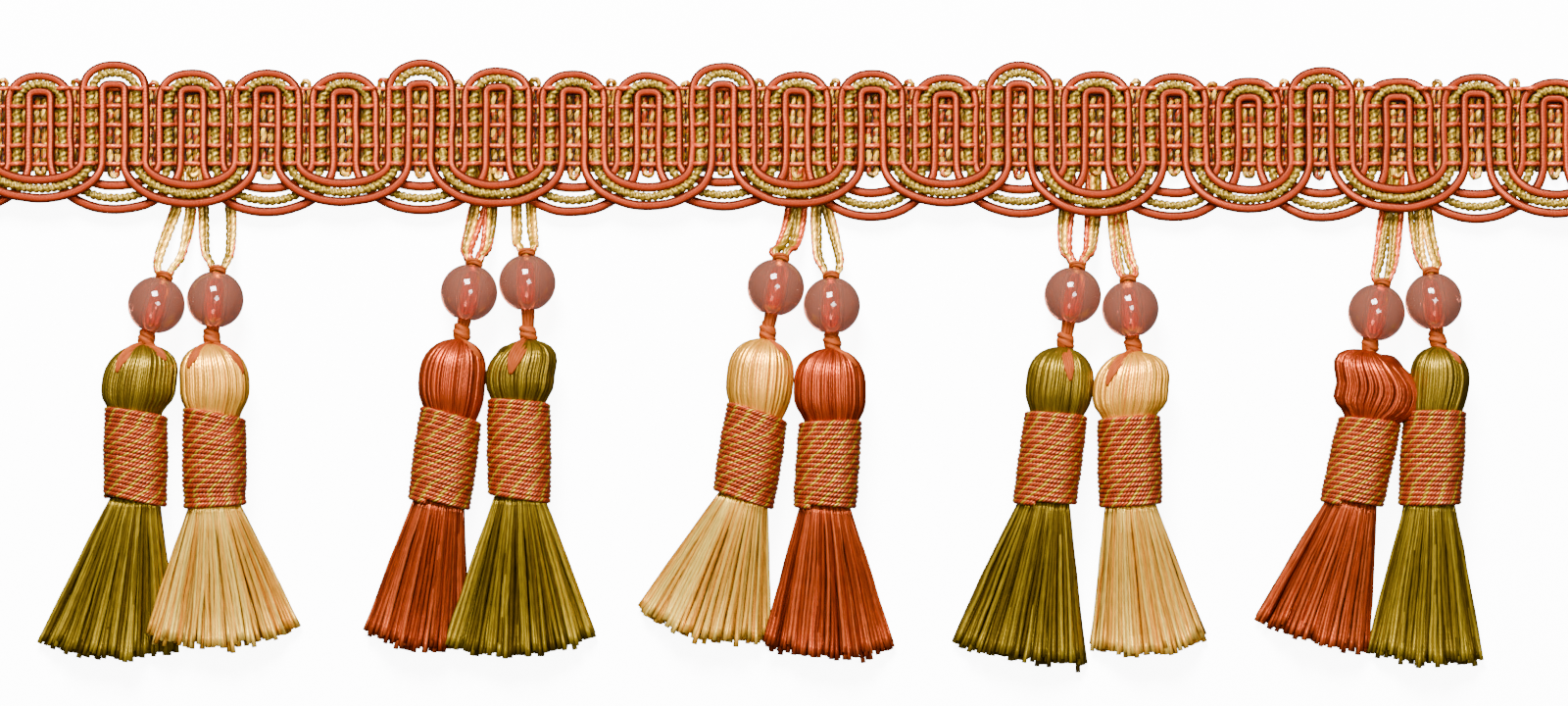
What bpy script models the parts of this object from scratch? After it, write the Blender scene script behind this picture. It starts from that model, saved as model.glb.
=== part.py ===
"""Beaded fringe trim: a looped cord heading that carries pairs of beaded tassels.

The trim lies flat, face up, on the plane z = 0. X runs along the trim, +Y points from the
tassels to the heading, and +Z points out of the face. The origin is the middle of the
heading's back face. Sizes below are in millimetres, and mm() turns them into metres.
"""
import math
from collections import namedtuple

import bmesh
import bpy
from mathutils import Vector

MM = 0.001
GAP = 0.3

# Heading
HALF_PITCH = 13.05
LOOP_COUNT = 22
TRIM_HALF_LENGTH = LOOP_COUNT * HALF_PITCH / 2
BAND_TOP_EDGE = 7.2
BAND_BOTTOM_EDGE = -7.9
BAND_VALLEY = 1.0
BAND_RIB = 1.2
RIBS_PER_LOOP = 3
PICOT_REACH = 1.4
LOOP_END_REACH = 0.7

# Cords
CORD_WIDTH = 1.0
LAYER_1 = BAND_RIB + GAP + CORD_WIDTH / 2
LAYER_2 = LAYER_1 + CORD_WIDTH + GAP + 0.05
STRAIGHT_LEG_END = -3.0
SCALLOP_START = -6.1
ARCH_SHOULDER = math.sqrt(0.5)
OLIVE_BELOW_TOP = 1.35
INNER_TOP_BASE = 4.1
INNER_TOP_SHARE = 0.3
INNER_TOP_CLEARANCE = 2.7

# Beads, knots and hangers
BEAD_RADIUS = 4.85
BORE_RADIUS = 1.1
BEAD_SIDES = 10
BEAD_ARCS = 6
THREAD_RADIUS = 0.55
THREAD_STANDS_OUT = 0.3
KNOT_START = BEAD_RADIUS + GAP
KNOT_LENGTH = 2.2
KNOT_RADIUS = 1.55
KNOT_RINGS = ((0.0, 0.35), (0.15, 0.8), (0.5, 1.0), (0.85, 0.8), (1.0, 0.35))
STRAND_RADIUS = 0.55
STRAND_LEVEL = 0.4
STRAND_BOW = 0.35
HANGER_ROOT_Y = -8.25
HANGER_ROOT_LENGTH = 2.4
HANGER_ROOT_HEIGHT = 0.9
HANGER_LOW_END = -16.9
HANGER_TIP_RADIUS = 0.65
HANGER_TIP_GAP = 0.35

# Tassels
COLLAR_RADIUS = 5.55
COLLAR_WALL = 0.8
COLLAR_BARREL = 0.12
COLLAR_SIDES = 10
COLLAR_LIFT = 0.05
NECK_RADIUS = (COLLAR_RADIUS - COLLAR_WALL) * math.cos(math.pi / COLLAR_SIDES) - GAP
NECK_TOP = -0.6
HEAD_HALF_HEIGHT = 5.5
CROWN_RADIUS = 2.2
CROWN_GAP = 0.35
CROWN_RISE = 0.9
HEAD_SIDES = 8
FLOOR_ROW = 6
TOP_ROW = 4
ROOT_RING = 3.25
NECK_STANDS_OUT = 1.3
ROOT_STARTS = 0.3
LOCK_ROOT_RADIUS = 0.62
LOCK_SHARE = 0.45
LOCK_SWELL = 1.5
TRIANGLE_HEIGHT = 1.5
FLOOR_ARC = (192, 348)
TOP_ARC = (145, 35)
MIDDLE_SPREAD = 2.0
MIDDLE_ZIGZAG = 0.75
FLOOR_CLEARANCE = 0.02

Finish = namedtuple("Finish", "colour roughness transmission")
FINISHES = {
    "ground_yarn": Finish((0.52, 0.40, 0.20), 0.8, 0.0),
    "rust_gimp": Finish((0.58, 0.13, 0.07), 0.55, 0.0),
    "olive_cord": Finish((0.35, 0.26, 0.08), 0.6, 0.0),
    "bead_rose": Finish((0.38, 0.14, 0.12), 0.1, 0.6),
    "tie_thread": Finish((0.61, 0.21, 0.09), 0.6, 0.0),
    "hanger_yarn": Finish((0.70, 0.55, 0.25), 0.7, 0.0),
    "collar_cord": Finish((0.54, 0.12, 0.05), 0.6, 0.0),
    "tassel_olive": Finish((0.22, 0.15, 0.015), 0.6, 0.0),
    "tassel_gold": Finish((0.70, 0.43, 0.14), 0.55, 0.0),
    "tassel_rust": Finish((0.38, 0.08, 0.022), 0.6, 0.0),
}

# A row for each loop of the heading, from left to right: how far it stands off the even
# pitch, the height of its top edge, and the low edge of the scallop that hangs beneath it.
Loop = namedtuple("Loop", "shift top drop")
LOOPS = (
    Loop(0.0, 9.8, -15.0),
    Loop(0.05, 9.4, -13.0),
    Loop(-0.4, 11.3, -14.9),
    Loop(0.2, 9.9, -13.9),
    Loop(-0.07, 9.9, -15.4),
    Loop(0.39, 9.5, -13.6),
    Loop(0.22, 11.6, -15.0),
    Loop(0.54, 10.3, -13.9),
    Loop(0.62, 9.7, -15.3),
    Loop(0.35, 9.4, -14.3),
    Loop(0.27, 11.1, -14.4),
    Loop(-0.12, 9.6, -13.9),
    Loop(-0.12, 9.8, -16.2),
    Loop(-0.59, 9.1, -13.7),
    Loop(-0.99, 11.2, -15.6),
    Loop(-0.72, 9.6, -15.5),
    Loop(-0.29, 9.3, -16.2),
    Loop(-0.52, 8.5, -14.8),
    Loop(-1.4, 10.3, -16.3),
    Loop(-0.99, 8.5, -14.7),
    Loop(-0.56, 9.1, -16.5),
    Loop(0.05, 8.3, -15.6),
)

# A cord of a serpentine: how far its leg stands from the middle of the loop, the rise of
# its arch, and how far it lies above the lowest cord of a front and of a back scallop.
Cord = namedtuple("Cord", "name finish leg rise front_inset back_inset")
CORDS = (
    Cord("outer", "rust_gimp", 5.4, 4.6, 3.4, 4.1),
    Cord("olive", "olive_cord", 4.0, 3.9, 2.0, 2.1),
    Cord("inner", "rust_gimp", 1.95, 1.7, 0.0, 0.0),
)

# A row for each tassel, from left to right. bead_turn and lean are degrees from straight
# down, positive to the right. left, middle and right are where the skirt's cut edge lies,
# as distances across and along the tassel from the top of its collar. under and over count
# the locks at its right and left edge that lie under or over the neighbouring skirt.
Tassel = namedtuple(
    "Tassel",
    "name finish bead_x bead_y bead_turn neck_x neck_y lean collar head_width head_shift "
    "left left_end middle_end right right_end under over root_left root_right strands",
)
TASSELS = (
    Tassel("1l", "tassel_olive", -103.6, -30.7, -16, -107.0, -48.6, -0.6, 16.2, 12.4, 0.5,
           -16.6, 39.8, 42.7, 7.2, 41.6, 2, 0, -101.0, -97.3, 2),
    Tassel("1r", "tassel_gold", -93.5, -29.8, -5, -93.6, -48.9, 0.3, 16.7, 11.6, 0.1,
           -11.9, 38.5, 40.6, 14.1, 37.0, 0, 2, -96.6, -90.4, 2),
    Tassel("2l", "tassel_rust", -49.9, -28.6, -10, -52.9, -49.1, -7.7, 16.3, 10.9, -0.6,
           -9.9, 38.9, 40.9, 7.5, 39.8, 1, 0, -49.7, -45.2, 3),
    Tassel("2r", "tassel_olive", -39.9, -26.9, 1, -41.3, -46.9, 0.2, 17.5, 11.0, 0.2,
           -12.8, 42.1, 44.1, 12.8, 40.5, 0, 1, -42.8, -38.6, 3),
    Tassel("3l", "tassel_gold", 2.8, -27.7, -10, -0.3, -48.7, -9.2, 15.9, 10.9, -0.4,
           -14.7, 36.9, 40.3, 8.0, 38.5, 0, 0, 4.7, 8.3, 3),
    Tassel("3r", "tassel_rust", 12.4, -30.8, 1, 12.2, -50.4, -3.7, 15.5, 11.7, -0.5,
           -8.2, 39.3, 40.8, 13.3, 38.3, 0, 0, 9.1, 11.8, 2),
    Tassel("4l", "tassel_olive", 53.8, -29.1, -9, 51.0, -49.1, -7.5, 16.2, 11.0, -0.1,
           -12.2, 41.6, 43.0, 10.6, 42.2, 0, 0, 51.8, 58.8, 3),
    Tassel("4r", "tassel_gold", 63.7, -31.4, 5, 63.4, -49.7, 1.2, 15.9, 12.2, 0.4,
           -6.8, 40.0, 41.0, 12.5, 38.4, 0, 0, 60.0, 62.8, 3),
    Tassel("5l", "tassel_rust", 106.0, -32.0, -11, 104.9, -50.1, -12.5, 15.5, 11.6, -0.6,
           -11.2, 37.6, 39.5, 8.5, 39.4, 0, 0, 107.2, 111.2, 3),
    Tassel("5r", "tassel_olive", 115.8, -30.1, 6, 116.0, -48.6, -3.4, 16.9, 9.6, 0.5,
           -8.2, 42.2, 43.6, 11.2, 42.4, 0, 0, 111.9, 115.7, 3),
)

# A ring of the head: how far it lies along the tassel from the top of the collar, its share
# of the head's half width, and its shares of the head's and of the crown's sideways shift.
HeadRing = namedtuple("HeadRing", "along width shift crown")
HEAD_RINGS = (
    HeadRing(-9.0, 0.66, 0.3, 0.8),
    HeadRing(-7.1, 0.9, 0.6, 0.5),
    HeadRing(-4.6, 1.0, 0.9, 0.2),
    HeadRing(-1.8, 0.9, 0.25, 0.0),
)

# Where a lock is measured: the distance below the collar as a share of the way to its
# end, how far it has spread, and how far the floor, middle and top rows have sunk.
LockStation = namedtuple("LockStation", "way spread floor middle top")
LOCK_STATIONS = (
    LockStation(0.2, 0.40, 0.72, 0.45, 0.35),
    LockStation(0.56, 0.68, 1.0, 0.9, 0.75),
    LockStation(1.0, 1.0, 1.0, 1.0, 1.0),
)


def mm(x, y, z):
    """Return a point given in millimetres as a vector in metres."""
    return Vector((x, y, z)) * MM


def clear_scene():
    """Remove whatever the scene holds."""
    for item in list(bpy.data.objects):
        bpy.data.objects.remove(item, do_unlink=True)
    for group in list(bpy.data.collections):
        bpy.data.collections.remove(group)


def make_material(name):
    """Return the material of a finish, made once."""
    material = bpy.data.materials.get(name)
    if material is None:
        finish = FINISHES[name]
        material = bpy.data.materials.new(name)
        material.use_nodes = True
        shader = material.node_tree.nodes["Principled BSDF"]
        shader.inputs["Base Color"].default_value = (*finish.colour, 1.0)
        shader.inputs["Roughness"].default_value = finish.roughness
        shader.inputs["Transmission Weight"].default_value = finish.transmission
    return material


def add_object(name, data, finish, collection):
    """Link a mesh or curve as a named object with its finish."""
    item = bpy.data.objects.new(name, data)
    data.materials.append(make_material(finish))
    collection.objects.link(item)
    return item


def make_profile(name, sides, guides):
    """Return a closed flat curve of the given number of sides and radius 1 mm.

    A triangle has its flat side down, and a square has two level sides.
    """
    curve = bpy.data.curves.new(name, "CURVE")
    spline = curve.splines.new("POLY")
    spline.points.add(sides - 1)
    first = -math.pi / 2 + math.pi / sides
    for index, point in enumerate(spline.points):
        angle = first - math.tau * index / sides
        point.co = (MM * math.cos(angle), MM * math.sin(angle), 0, 1)
    spline.use_cyclic_u = True
    profile = bpy.data.objects.new(name, curve)
    profile.hide_render = True
    profile.display_type = "WIRE"
    guides.objects.link(profile)
    return profile


def make_strand(name, points, radii, profile, finish, collection, turned_over=False):
    """Return a curve object through the points, in millimetres, swept with the profile."""
    curve = bpy.data.curves.new(name, "CURVE")
    curve.dimensions = "3D"
    curve.twist_mode = "Z_UP"
    curve.bevel_mode = "OBJECT"
    curve.bevel_object = profile
    curve.use_fill_caps = True
    spline = curve.splines.new("POLY")
    spline.points.add(len(points) - 1)
    for point, place, radius in zip(spline.points, points, radii):
        point.co = (*mm(*place), 1)
        point.radius = radius
        point.tilt = math.pi if turned_over else 0.0
    return add_object(name, curve, finish, collection)


def make_solid(name, points, radii, sides, finish, collection):
    """Return a round curve object through the points with a radius at each."""
    curve = bpy.data.curves.new(name, "CURVE")
    curve.dimensions = "3D"
    curve.twist_mode = "Z_UP"
    curve.bevel_depth = MM
    curve.bevel_resolution = (sides - 4) // 2
    curve.use_fill_caps = True
    spline = curve.splines.new("POLY")
    spline.points.add(len(points) - 1)
    for point, place, radius in zip(spline.points, points, radii):
        point.co = (*mm(*place), 1)
        point.radius = radius
    return add_object(name, curve, finish, collection)


def curve_to_mesh(item):
    """Replace a curve object by a mesh object of the same name and return it."""
    graph = bpy.context.evaluated_depsgraph_get()
    mesh = bpy.data.meshes.new_from_object(item.evaluated_get(graph))
    body = bmesh.new()
    body.from_mesh(mesh)
    bmesh.ops.remove_doubles(body, verts=body.verts, dist=0.01 * MM)
    bmesh.ops.recalc_face_normals(body, faces=body.faces)
    body.to_mesh(mesh)
    body.free()
    name = item.name
    home = item.users_collection[0]
    place = item.matrix_world.copy()
    bpy.data.objects.remove(item, do_unlink=True)
    solid = bpy.data.objects.new(name, mesh)
    solid.matrix_world = place
    home.objects.link(solid)
    return solid


def join_solids(target, cutters):
    """Union the cutter meshes into the target with one Boolean each."""
    for cutter in cutters:
        cutter.hide_render = True
        cutter.display_type = "WIRE"
        union = target.modifiers.new("join_" + cutter.name, "BOOLEAN")
        union.operation = "UNION"
        union.solver = "EXACT"
        union.object = cutter


def loop_x(index):
    """Return the middle of a loop, counted from the left end; ends continue evenly."""
    shift = LOOPS[index].shift if 0 <= index < LOOP_COUNT else 0.0
    return (index - (LOOP_COUNT - 1) / 2) * HALF_PITCH + shift


def loop_row(index):
    """Return the table row of a loop, or the end row for a loop past the cut."""
    return LOOPS[min(max(index, 0), LOOP_COUNT - 1)]


def leg_x(loop_index, side, leg):
    """Return the x of a cord's leg to the left (-1) or right (+1) of its loop."""
    middle = loop_x(loop_index)
    room = abs(loop_x(loop_index + side) - middle)
    return middle + side * leg * room / HALF_PITCH


def loop_peak(index, cord):
    """Return the height of a cord's centre line at the top of a loop."""
    outer = loop_row(index).top - CORD_WIDTH / 2
    if cord.name == "outer":
        return outer
    if cord.name == "olive":
        return outer - OLIVE_BELOW_TOP
    return min(INNER_TOP_BASE + INNER_TOP_SHARE * outer, outer - INNER_TOP_CLEARANCE)


def arch(left, right, base, peak, level):
    """Return shoulder, peak and shoulder of a half ellipse that stands on two legs."""
    middle = (left + right) / 2
    reach = (right - left) / 2 * ARCH_SHOULDER
    shoulder = base + (peak - base) * ARCH_SHOULDER
    return [
        (middle - reach, shoulder, level),
        (middle, peak, level),
        (middle + reach, shoulder, level),
    ]


def cord_route(cord, parity):
    """Return the centre line of a cord over the whole serpentine, past both cut ends."""
    front = parity == 0
    low_level = LAYER_2 if front else LAYER_1
    inset = cord.front_inset if front else cord.back_inset
    route = []
    for index in range(-1, LOOP_COUNT + 1):
        if index % 2 == parity:
            left = leg_x(index, -1, cord.leg)
            right = leg_x(index, 1, cord.leg)
            peak = loop_peak(index, cord)
            base = peak - cord.rise
            if front:
                route.append((left, STRAIGHT_LEG_END, LAYER_1))
            route.append((left, base, LAYER_1))
            route.extend(arch(left, right, base, peak, LAYER_1))
            route.append((right, base, LAYER_1))
            if front:
                route.append((right, STRAIGHT_LEG_END, LAYER_1))
        else:
            left = leg_x(index - 1, 1, cord.leg)
            right = leg_x(index + 1, -1, cord.leg)
            peak = loop_row(index).drop + CORD_WIDTH / 2 + inset
            route.append((left, SCALLOP_START, low_level))
            route.extend(arch(left, right, SCALLOP_START, peak, low_level))
            route.append((right, SCALLOP_START, low_level))
    return route


def cut_route(route, limit):
    """Return the part of a route between x = -limit and x = +limit, cut square."""
    kept = []
    for start, end in zip(route, route[1:]):
        for edge in (-limit, limit):
            if min(start[0], end[0]) < edge < max(start[0], end[0]):
                share = (edge - start[0]) / (end[0] - start[0])
                crossing = [a + (b - a) * share for a, b in zip(start, end)]
                kept.append(tuple(crossing))
        if abs(end[0]) < limit:
            kept.append(end)
    return kept


def make_cords(square, collection):
    """Make the three cords of the front and of the back serpentine."""
    for parity, side in enumerate(("front", "back")):
        for cord in CORDS:
            route = cut_route(cord_route(cord, parity), TRIM_HALF_LENGTH)
            radii = [CORD_WIDTH * math.sqrt(0.5)] * len(route)
            make_strand(f"{side}_{cord.name}_cord", route, radii, square, cord.finish, collection)


def make_ground_band(collection):
    """Make the woven ground: a ribbed strip with picots along both edges."""
    steps = 2 * RIBS_PER_LOOP * LOOP_COUNT
    mesh = bpy.data.meshes.new("ground_band")
    body = bmesh.new()
    bmesh.ops.create_grid(body, x_segments=steps, y_segments=1, size=1.0)
    for vertex in body.verts:
        station = round((vertex.co.x + 1) / 2 * steps)
        x = -TRIM_HALF_LENGTH + station * HALF_PITCH / (2 * RIBS_PER_LOOP)
        rib = station % 2 == 1
        between_loops = station % (2 * RIBS_PER_LOOP) == 1
        in_front_loop = station % (4 * RIBS_PER_LOOP) == RIBS_PER_LOOP
        top = BAND_TOP_EDGE + (PICOT_REACH if between_loops else 0.0)
        bottom = BAND_BOTTOM_EDGE - (LOOP_END_REACH if in_front_loop else 0.0)
        y = top if vertex.co.y > 0 else bottom
        vertex.co = mm(x, y, BAND_RIB if rib else BAND_VALLEY)
    raised = bmesh.ops.extrude_face_region(body, geom=list(body.faces))
    for vertex in [part for part in raised["geom"] if isinstance(part, bmesh.types.BMVert)]:
        vertex.co.z = 0.0
    bmesh.ops.recalc_face_normals(body, faces=body.faces)
    body.to_mesh(mesh)
    body.free()
    add_object("ground_band", mesh, "ground_yarn", collection)


def direction(degrees):
    """Return the unit vector straight down the trim, turned to the right by the angle."""
    angle = math.radians(degrees)
    return (math.sin(angle), -math.cos(angle))


def spin_profile(name, profile, sides, finish, collection):
    """Return a solid turned about its own Y axis from a closed profile of (radius, y)."""
    mesh = bpy.data.meshes.new(name)
    body = bmesh.new()
    corners = [body.verts.new(mm(radius, y, 0)) for radius, y in profile]
    edges = [body.edges.new((a, b)) for a, b in zip(corners, corners[1:] + corners[:1])]
    bmesh.ops.spin(
        body,
        geom=corners + edges,
        cent=(0, 0, 0),
        axis=(0, 1, 0),
        angle=math.tau,
        steps=sides,
        use_merge=True,
    )
    bmesh.ops.remove_doubles(body, verts=body.verts, dist=0.01 * MM)
    bmesh.ops.recalc_face_normals(body, faces=body.faces)
    body.to_mesh(mesh)
    body.free()
    return add_object(name, mesh, finish, collection)


def make_bead(row, collection):
    """Make the round bead with its bore along the thread."""
    start = math.asin(BORE_RADIUS / BEAD_RADIUS)
    profile = []
    for index in range(BEAD_ARCS + 1):
        angle = start + (math.pi - 2 * start) * index / BEAD_ARCS
        profile.append((BEAD_RADIUS * math.sin(angle), BEAD_RADIUS * math.cos(angle)))
    bead = spin_profile(f"bead_{row.name}", profile, BEAD_SIDES, "bead_rose", collection)
    bead.rotation_euler.z = math.radians(row.bead_turn)
    bead.location = mm(row.bead_x, row.bead_y, BEAD_RADIUS)


def along_bead(row, distance):
    """Return the point at a distance down the bead's axis from its centre."""
    down = direction(row.bead_turn)
    return (row.bead_x + down[0] * distance, row.bead_y + down[1] * distance, BEAD_RADIUS)


def make_tie(row, collection):
    """Make the thread through the bead with the knot that holds it under the bead."""
    points = [along_bead(row, -BEAD_RADIUS - THREAD_STANDS_OUT)]
    radii = [THREAD_RADIUS]
    for share, width in KNOT_RINGS:
        points.append(along_bead(row, KNOT_START + share * KNOT_LENGTH))
        radii.append(width * KNOT_RADIUS)
    make_solid(f"tie_{row.name}", points, radii, 6, "tie_thread", collection)


def make_hanger(row, triangle, collection, cutters):
    """Make the yarns that hang the bead from the heading, on a flat root sewn under it."""
    tip = along_bead(row, -(BEAD_RADIUS + THREAD_STANDS_OUT + HANGER_TIP_GAP + HANGER_TIP_RADIUS))
    middle = (row.root_left + row.root_right) / 2
    width = row.root_right - row.root_left
    root_mesh = bpy.data.meshes.new(f"hanger_{row.name}")
    body = bmesh.new()
    bmesh.ops.create_cube(body, size=MM)
    scale = Vector((width, HANGER_ROOT_LENGTH, HANGER_ROOT_HEIGHT))
    bmesh.ops.scale(body, vec=scale, verts=body.verts)
    place = mm(middle, HANGER_ROOT_Y - HANGER_ROOT_LENGTH / 2, HANGER_ROOT_HEIGHT / 2 + FLOOR_CLEARANCE)
    bmesh.ops.translate(body, vec=place, verts=body.verts)
    body.to_mesh(root_mesh)
    body.free()
    hanger = add_object(f"hanger_{row.name}", root_mesh, "hanger_yarn", collection)
    pieces = []
    for index in range(row.strands):
        share = index / (row.strands - 1)
        x = row.root_left + STRAND_RADIUS + (width - 2 * STRAND_RADIUS) * share
        bow = (share - 0.5) * width * STRAND_BOW
        half_way = (
            (x + tip[0]) / 2 + bow,
            (HANGER_LOW_END + tip[1]) / 2,
            (STRAND_LEVEL + tip[2]) / 2,
        )
        points = (
            (x, HANGER_ROOT_Y - HANGER_ROOT_LENGTH / 2, STRAND_LEVEL),
            (x, HANGER_LOW_END, STRAND_LEVEL),
            half_way,
            tip,
        )
        radii = [STRAND_RADIUS] * len(points)
        name = f"hanger_{row.name}_strand_{index}"
        strand = make_strand(name, points, radii, triangle, "hanger_yarn", cutters)
        pieces.append(curve_to_mesh(strand))
    knob_mesh = bpy.data.meshes.new(f"hanger_{row.name}_tip")
    body = bmesh.new()
    bmesh.ops.create_cube(body, size=2 * HANGER_TIP_RADIUS * MM)
    bmesh.ops.translate(body, vec=mm(*tip), verts=body.verts)
    body.to_mesh(knob_mesh)
    body.free()
    pieces.append(add_object(f"hanger_{row.name}_tip", knob_mesh, "hanger_yarn", cutters))
    join_solids(hanger, pieces)


def tassel_point(row, across, along, height):
    """Return a world point from distances across and along the tassel and a height."""
    down = direction(row.lean)
    right = (-down[1], down[0])
    return (
        row.neck_x + right[0] * across + down[0] * along,
        row.neck_y + right[1] * across + down[1] * along,
        height,
    )


def make_collar(row, collection):
    """Make the wound collar as a sleeve with a slight belly."""
    outer = COLLAR_RADIUS - COLLAR_BARREL
    inner = COLLAR_RADIUS - COLLAR_WALL
    profile = (
        (inner, 0),
        (outer, 0),
        (COLLAR_RADIUS, -row.collar / 2),
        (outer, -row.collar),
        (inner, -row.collar),
    )
    collar = spin_profile(f"collar_{row.name}", profile, COLLAR_SIDES, "collar_cord", collection)
    collar.rotation_euler.z = math.radians(row.lean)
    collar.location = mm(row.neck_x, row.neck_y, COLLAR_RADIUS + COLLAR_LIFT)


def end_along(row, share):
    """Return how far along the tassel the skirt's cut edge lies at a share of its width."""
    if share < 0.5:
        return row.left_end + (row.middle_end - row.left_end) * math.sin(math.pi * share)
    return row.right_end + (row.middle_end - row.right_end) * math.sin(math.pi * share)


def arc_places(count, arc):
    """Return (across, height) places spread along an arc of the root ring."""
    places = []
    for index in range(count):
        angle = math.radians(arc[0] + (arc[1] - arc[0]) * index / (count - 1))
        places.append((ROOT_RING * math.cos(angle), ROOT_RING * math.sin(angle)))
    return places


def lock_rows(row):
    """Yield each lock: row name, number, root place, share of the width, and lift."""
    axis = COLLAR_RADIUS + COLLAR_LIFT
    pitch = (row.right - row.left) / FLOOR_ROW
    thick = TRIANGLE_HEIGHT * LOCK_SHARE * pitch
    for index, (across, height) in enumerate(arc_places(FLOOR_ROW, FLOOR_ARC)):
        lift = thick + GAP if index < row.over else 0.0
        yield "floor", index, (across, axis + height), (index + 0.5) / FLOOR_ROW, lift
    middle_count = FLOOR_ROW - 1 - row.under - row.over
    for index in range(middle_count):
        across = MIDDLE_SPREAD * (2 * index / (middle_count - 1) - 1)
        height = axis + MIDDLE_ZIGZAG * (1 if index % 2 else -1)
        share = (index + 1 + row.over) / FLOOR_ROW
        yield "middle", index, (across, height), share, GAP
    first = (1 + row.over) / FLOOR_ROW
    last = (FLOOR_ROW - 1 - row.under) / FLOOR_ROW
    for index, (across, height) in enumerate(arc_places(TOP_ROW, TOP_ARC)):
        share = first + (last - first) * index / (TOP_ROW - 1)
        yield "top", index, (across, axis + height), share, thick + 2 * GAP


def make_lock(row, kind, index, root, share, lift, triangle, cutters):
    """Make one lock of the skirt, from its root in the neck to its cut end."""
    pitch = (row.right - row.left) / FLOOR_ROW
    end_radius = LOCK_SHARE * pitch
    turned_over = kind == "middle"
    end_across = row.left + (row.right - row.left) * share
    end = end_along(row, share)
    points = [tassel_point(row, root[0], row.collar + ROOT_STARTS, root[1])]
    radii = [LOCK_ROOT_RADIUS]
    for station in LOCK_STATIONS:
        sunk = {"floor": station.floor, "middle": station.middle, "top": station.top}[kind]
        radius = LOCK_ROOT_RADIUS + (end_radius - LOCK_ROOT_RADIUS) * station.spread ** LOCK_SWELL
        rest = lift + FLOOR_CLEARANCE + (radius if turned_over else radius / 2)
        across = root[0] + (end_across - root[0]) * station.spread
        along = row.collar + (end - row.collar) * station.way
        points.append(tassel_point(row, across, along, root[1] + (rest - root[1]) * sunk))
        radii.append(radius)
    name = f"tassel_{row.name}_{kind}_{index}"
    lock = make_strand(name, points, radii, triangle, row.finish, cutters, turned_over)
    return curve_to_mesh(lock)


def crown_along(row):
    """Return how far along the tassel its crown lies, just below the knot."""
    knot_end = along_bead(row, KNOT_START + KNOT_LENGTH + CROWN_GAP)
    down = direction(row.lean)
    return (knot_end[0] - row.neck_x) * down[0] + (knot_end[1] - row.neck_y) * down[1]


def crown_across(row):
    """Return how far across the tassel its crown lies, under the knot."""
    knot_end = along_bead(row, KNOT_START + KNOT_LENGTH + CROWN_GAP)
    down = direction(row.lean)
    return -(knot_end[0] - row.neck_x) * down[1] + (knot_end[1] - row.neck_y) * down[0]


def make_tassel(row, triangle, collection, cutters):
    """Make a tassel: rounded head, neck inside the collar, and the locks of its skirt."""
    axis = COLLAR_RADIUS + COLLAR_LIFT
    crown = crown_along(row)
    half_width = row.head_width / 2
    stations = [(crown_across(row), crown, CROWN_RADIUS)]
    for ring in HEAD_RINGS:
        along = max(ring.along, crown + CROWN_RISE)
        across = row.head_shift * ring.shift + crown_across(row) * ring.crown
        stations.append((across, along, half_width * ring.width))
    stations.append((0.0, NECK_TOP, NECK_RADIUS))
    stations.append((0.0, row.collar + NECK_STANDS_OUT, NECK_RADIUS))
    points = [tassel_point(row, across, along, axis) for across, along, _ in stations]
    radii = [radius for _, _, radius in stations]
    name = f"tassel_{row.name}"
    tassel = curve_to_mesh(make_solid(name, points, radii, HEAD_SIDES, row.finish, collection))
    down = direction(row.lean)
    flatten = min(HEAD_HALF_HEIGHT / half_width, 1.0)
    for vertex in tassel.data.vertices:
        offset = vertex.co / MM
        along = (offset.x - row.neck_x) * down[0] + (offset.y - row.neck_y) * down[1]
        if along < NECK_TOP - GAP:
            vertex.co.z = (axis + (offset.z - axis) * flatten) * MM
    locks = [make_lock(row, *lock, triangle, cutters) for lock in lock_rows(row)]
    join_solids(tassel, locks)


def main():
    """Build the whole trim."""
    clear_scene()
    trim = bpy.data.collections.new("beaded_fringe_trim")
    cutters = bpy.data.collections.new("joined_pieces")
    guides = bpy.data.collections.new("guides")
    for group in (trim, cutters, guides):
        bpy.context.scene.collection.children.link(group)
    square = make_profile("square_profile", 4, guides)
    triangle = make_profile("triangle_profile", 3, guides)
    make_ground_band(trim)
    make_cords(square, trim)
    for row in TASSELS:
        make_hanger(row, triangle, trim, cutters)
        make_bead(row, trim)
        make_tie(row, trim)
        make_collar(row, trim)
        make_tassel(row, triangle, trim, cutters)


main()
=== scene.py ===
"""Beaded fringe trim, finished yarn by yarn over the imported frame.

The trim lies flat, face up. X runs along it, +Y points from the tassels to the heading and
+Z out of its face. Sizes are in millimetres until a piece is made, and metres from then on.
"""
import logging
import math
from collections.abc import Iterator, Sequence
from dataclasses import dataclass, field
from enum import Enum

import bmesh
import bpy
import numpy as np
from mathutils import Matrix, Vector


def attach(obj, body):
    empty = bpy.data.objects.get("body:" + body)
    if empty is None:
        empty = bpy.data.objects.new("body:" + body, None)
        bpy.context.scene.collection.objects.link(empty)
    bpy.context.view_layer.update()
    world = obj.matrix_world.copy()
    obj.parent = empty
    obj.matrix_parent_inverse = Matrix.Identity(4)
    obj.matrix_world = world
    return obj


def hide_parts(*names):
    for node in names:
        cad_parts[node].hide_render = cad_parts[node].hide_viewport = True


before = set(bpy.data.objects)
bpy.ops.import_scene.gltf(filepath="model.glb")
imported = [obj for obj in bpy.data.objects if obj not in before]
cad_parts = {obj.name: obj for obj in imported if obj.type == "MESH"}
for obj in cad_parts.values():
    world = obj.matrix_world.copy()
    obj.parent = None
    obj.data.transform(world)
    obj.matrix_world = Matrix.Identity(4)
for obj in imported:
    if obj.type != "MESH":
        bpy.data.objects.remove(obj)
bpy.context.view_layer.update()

LOG = logging.getLogger("beaded_fringe_trim")
MM = 0.001
BODY = "root"
Colour = tuple[int, int, int]
Path = np.ndarray
Place = tuple[float, float, float]
Socket = bpy.types.NodeSocket

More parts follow.
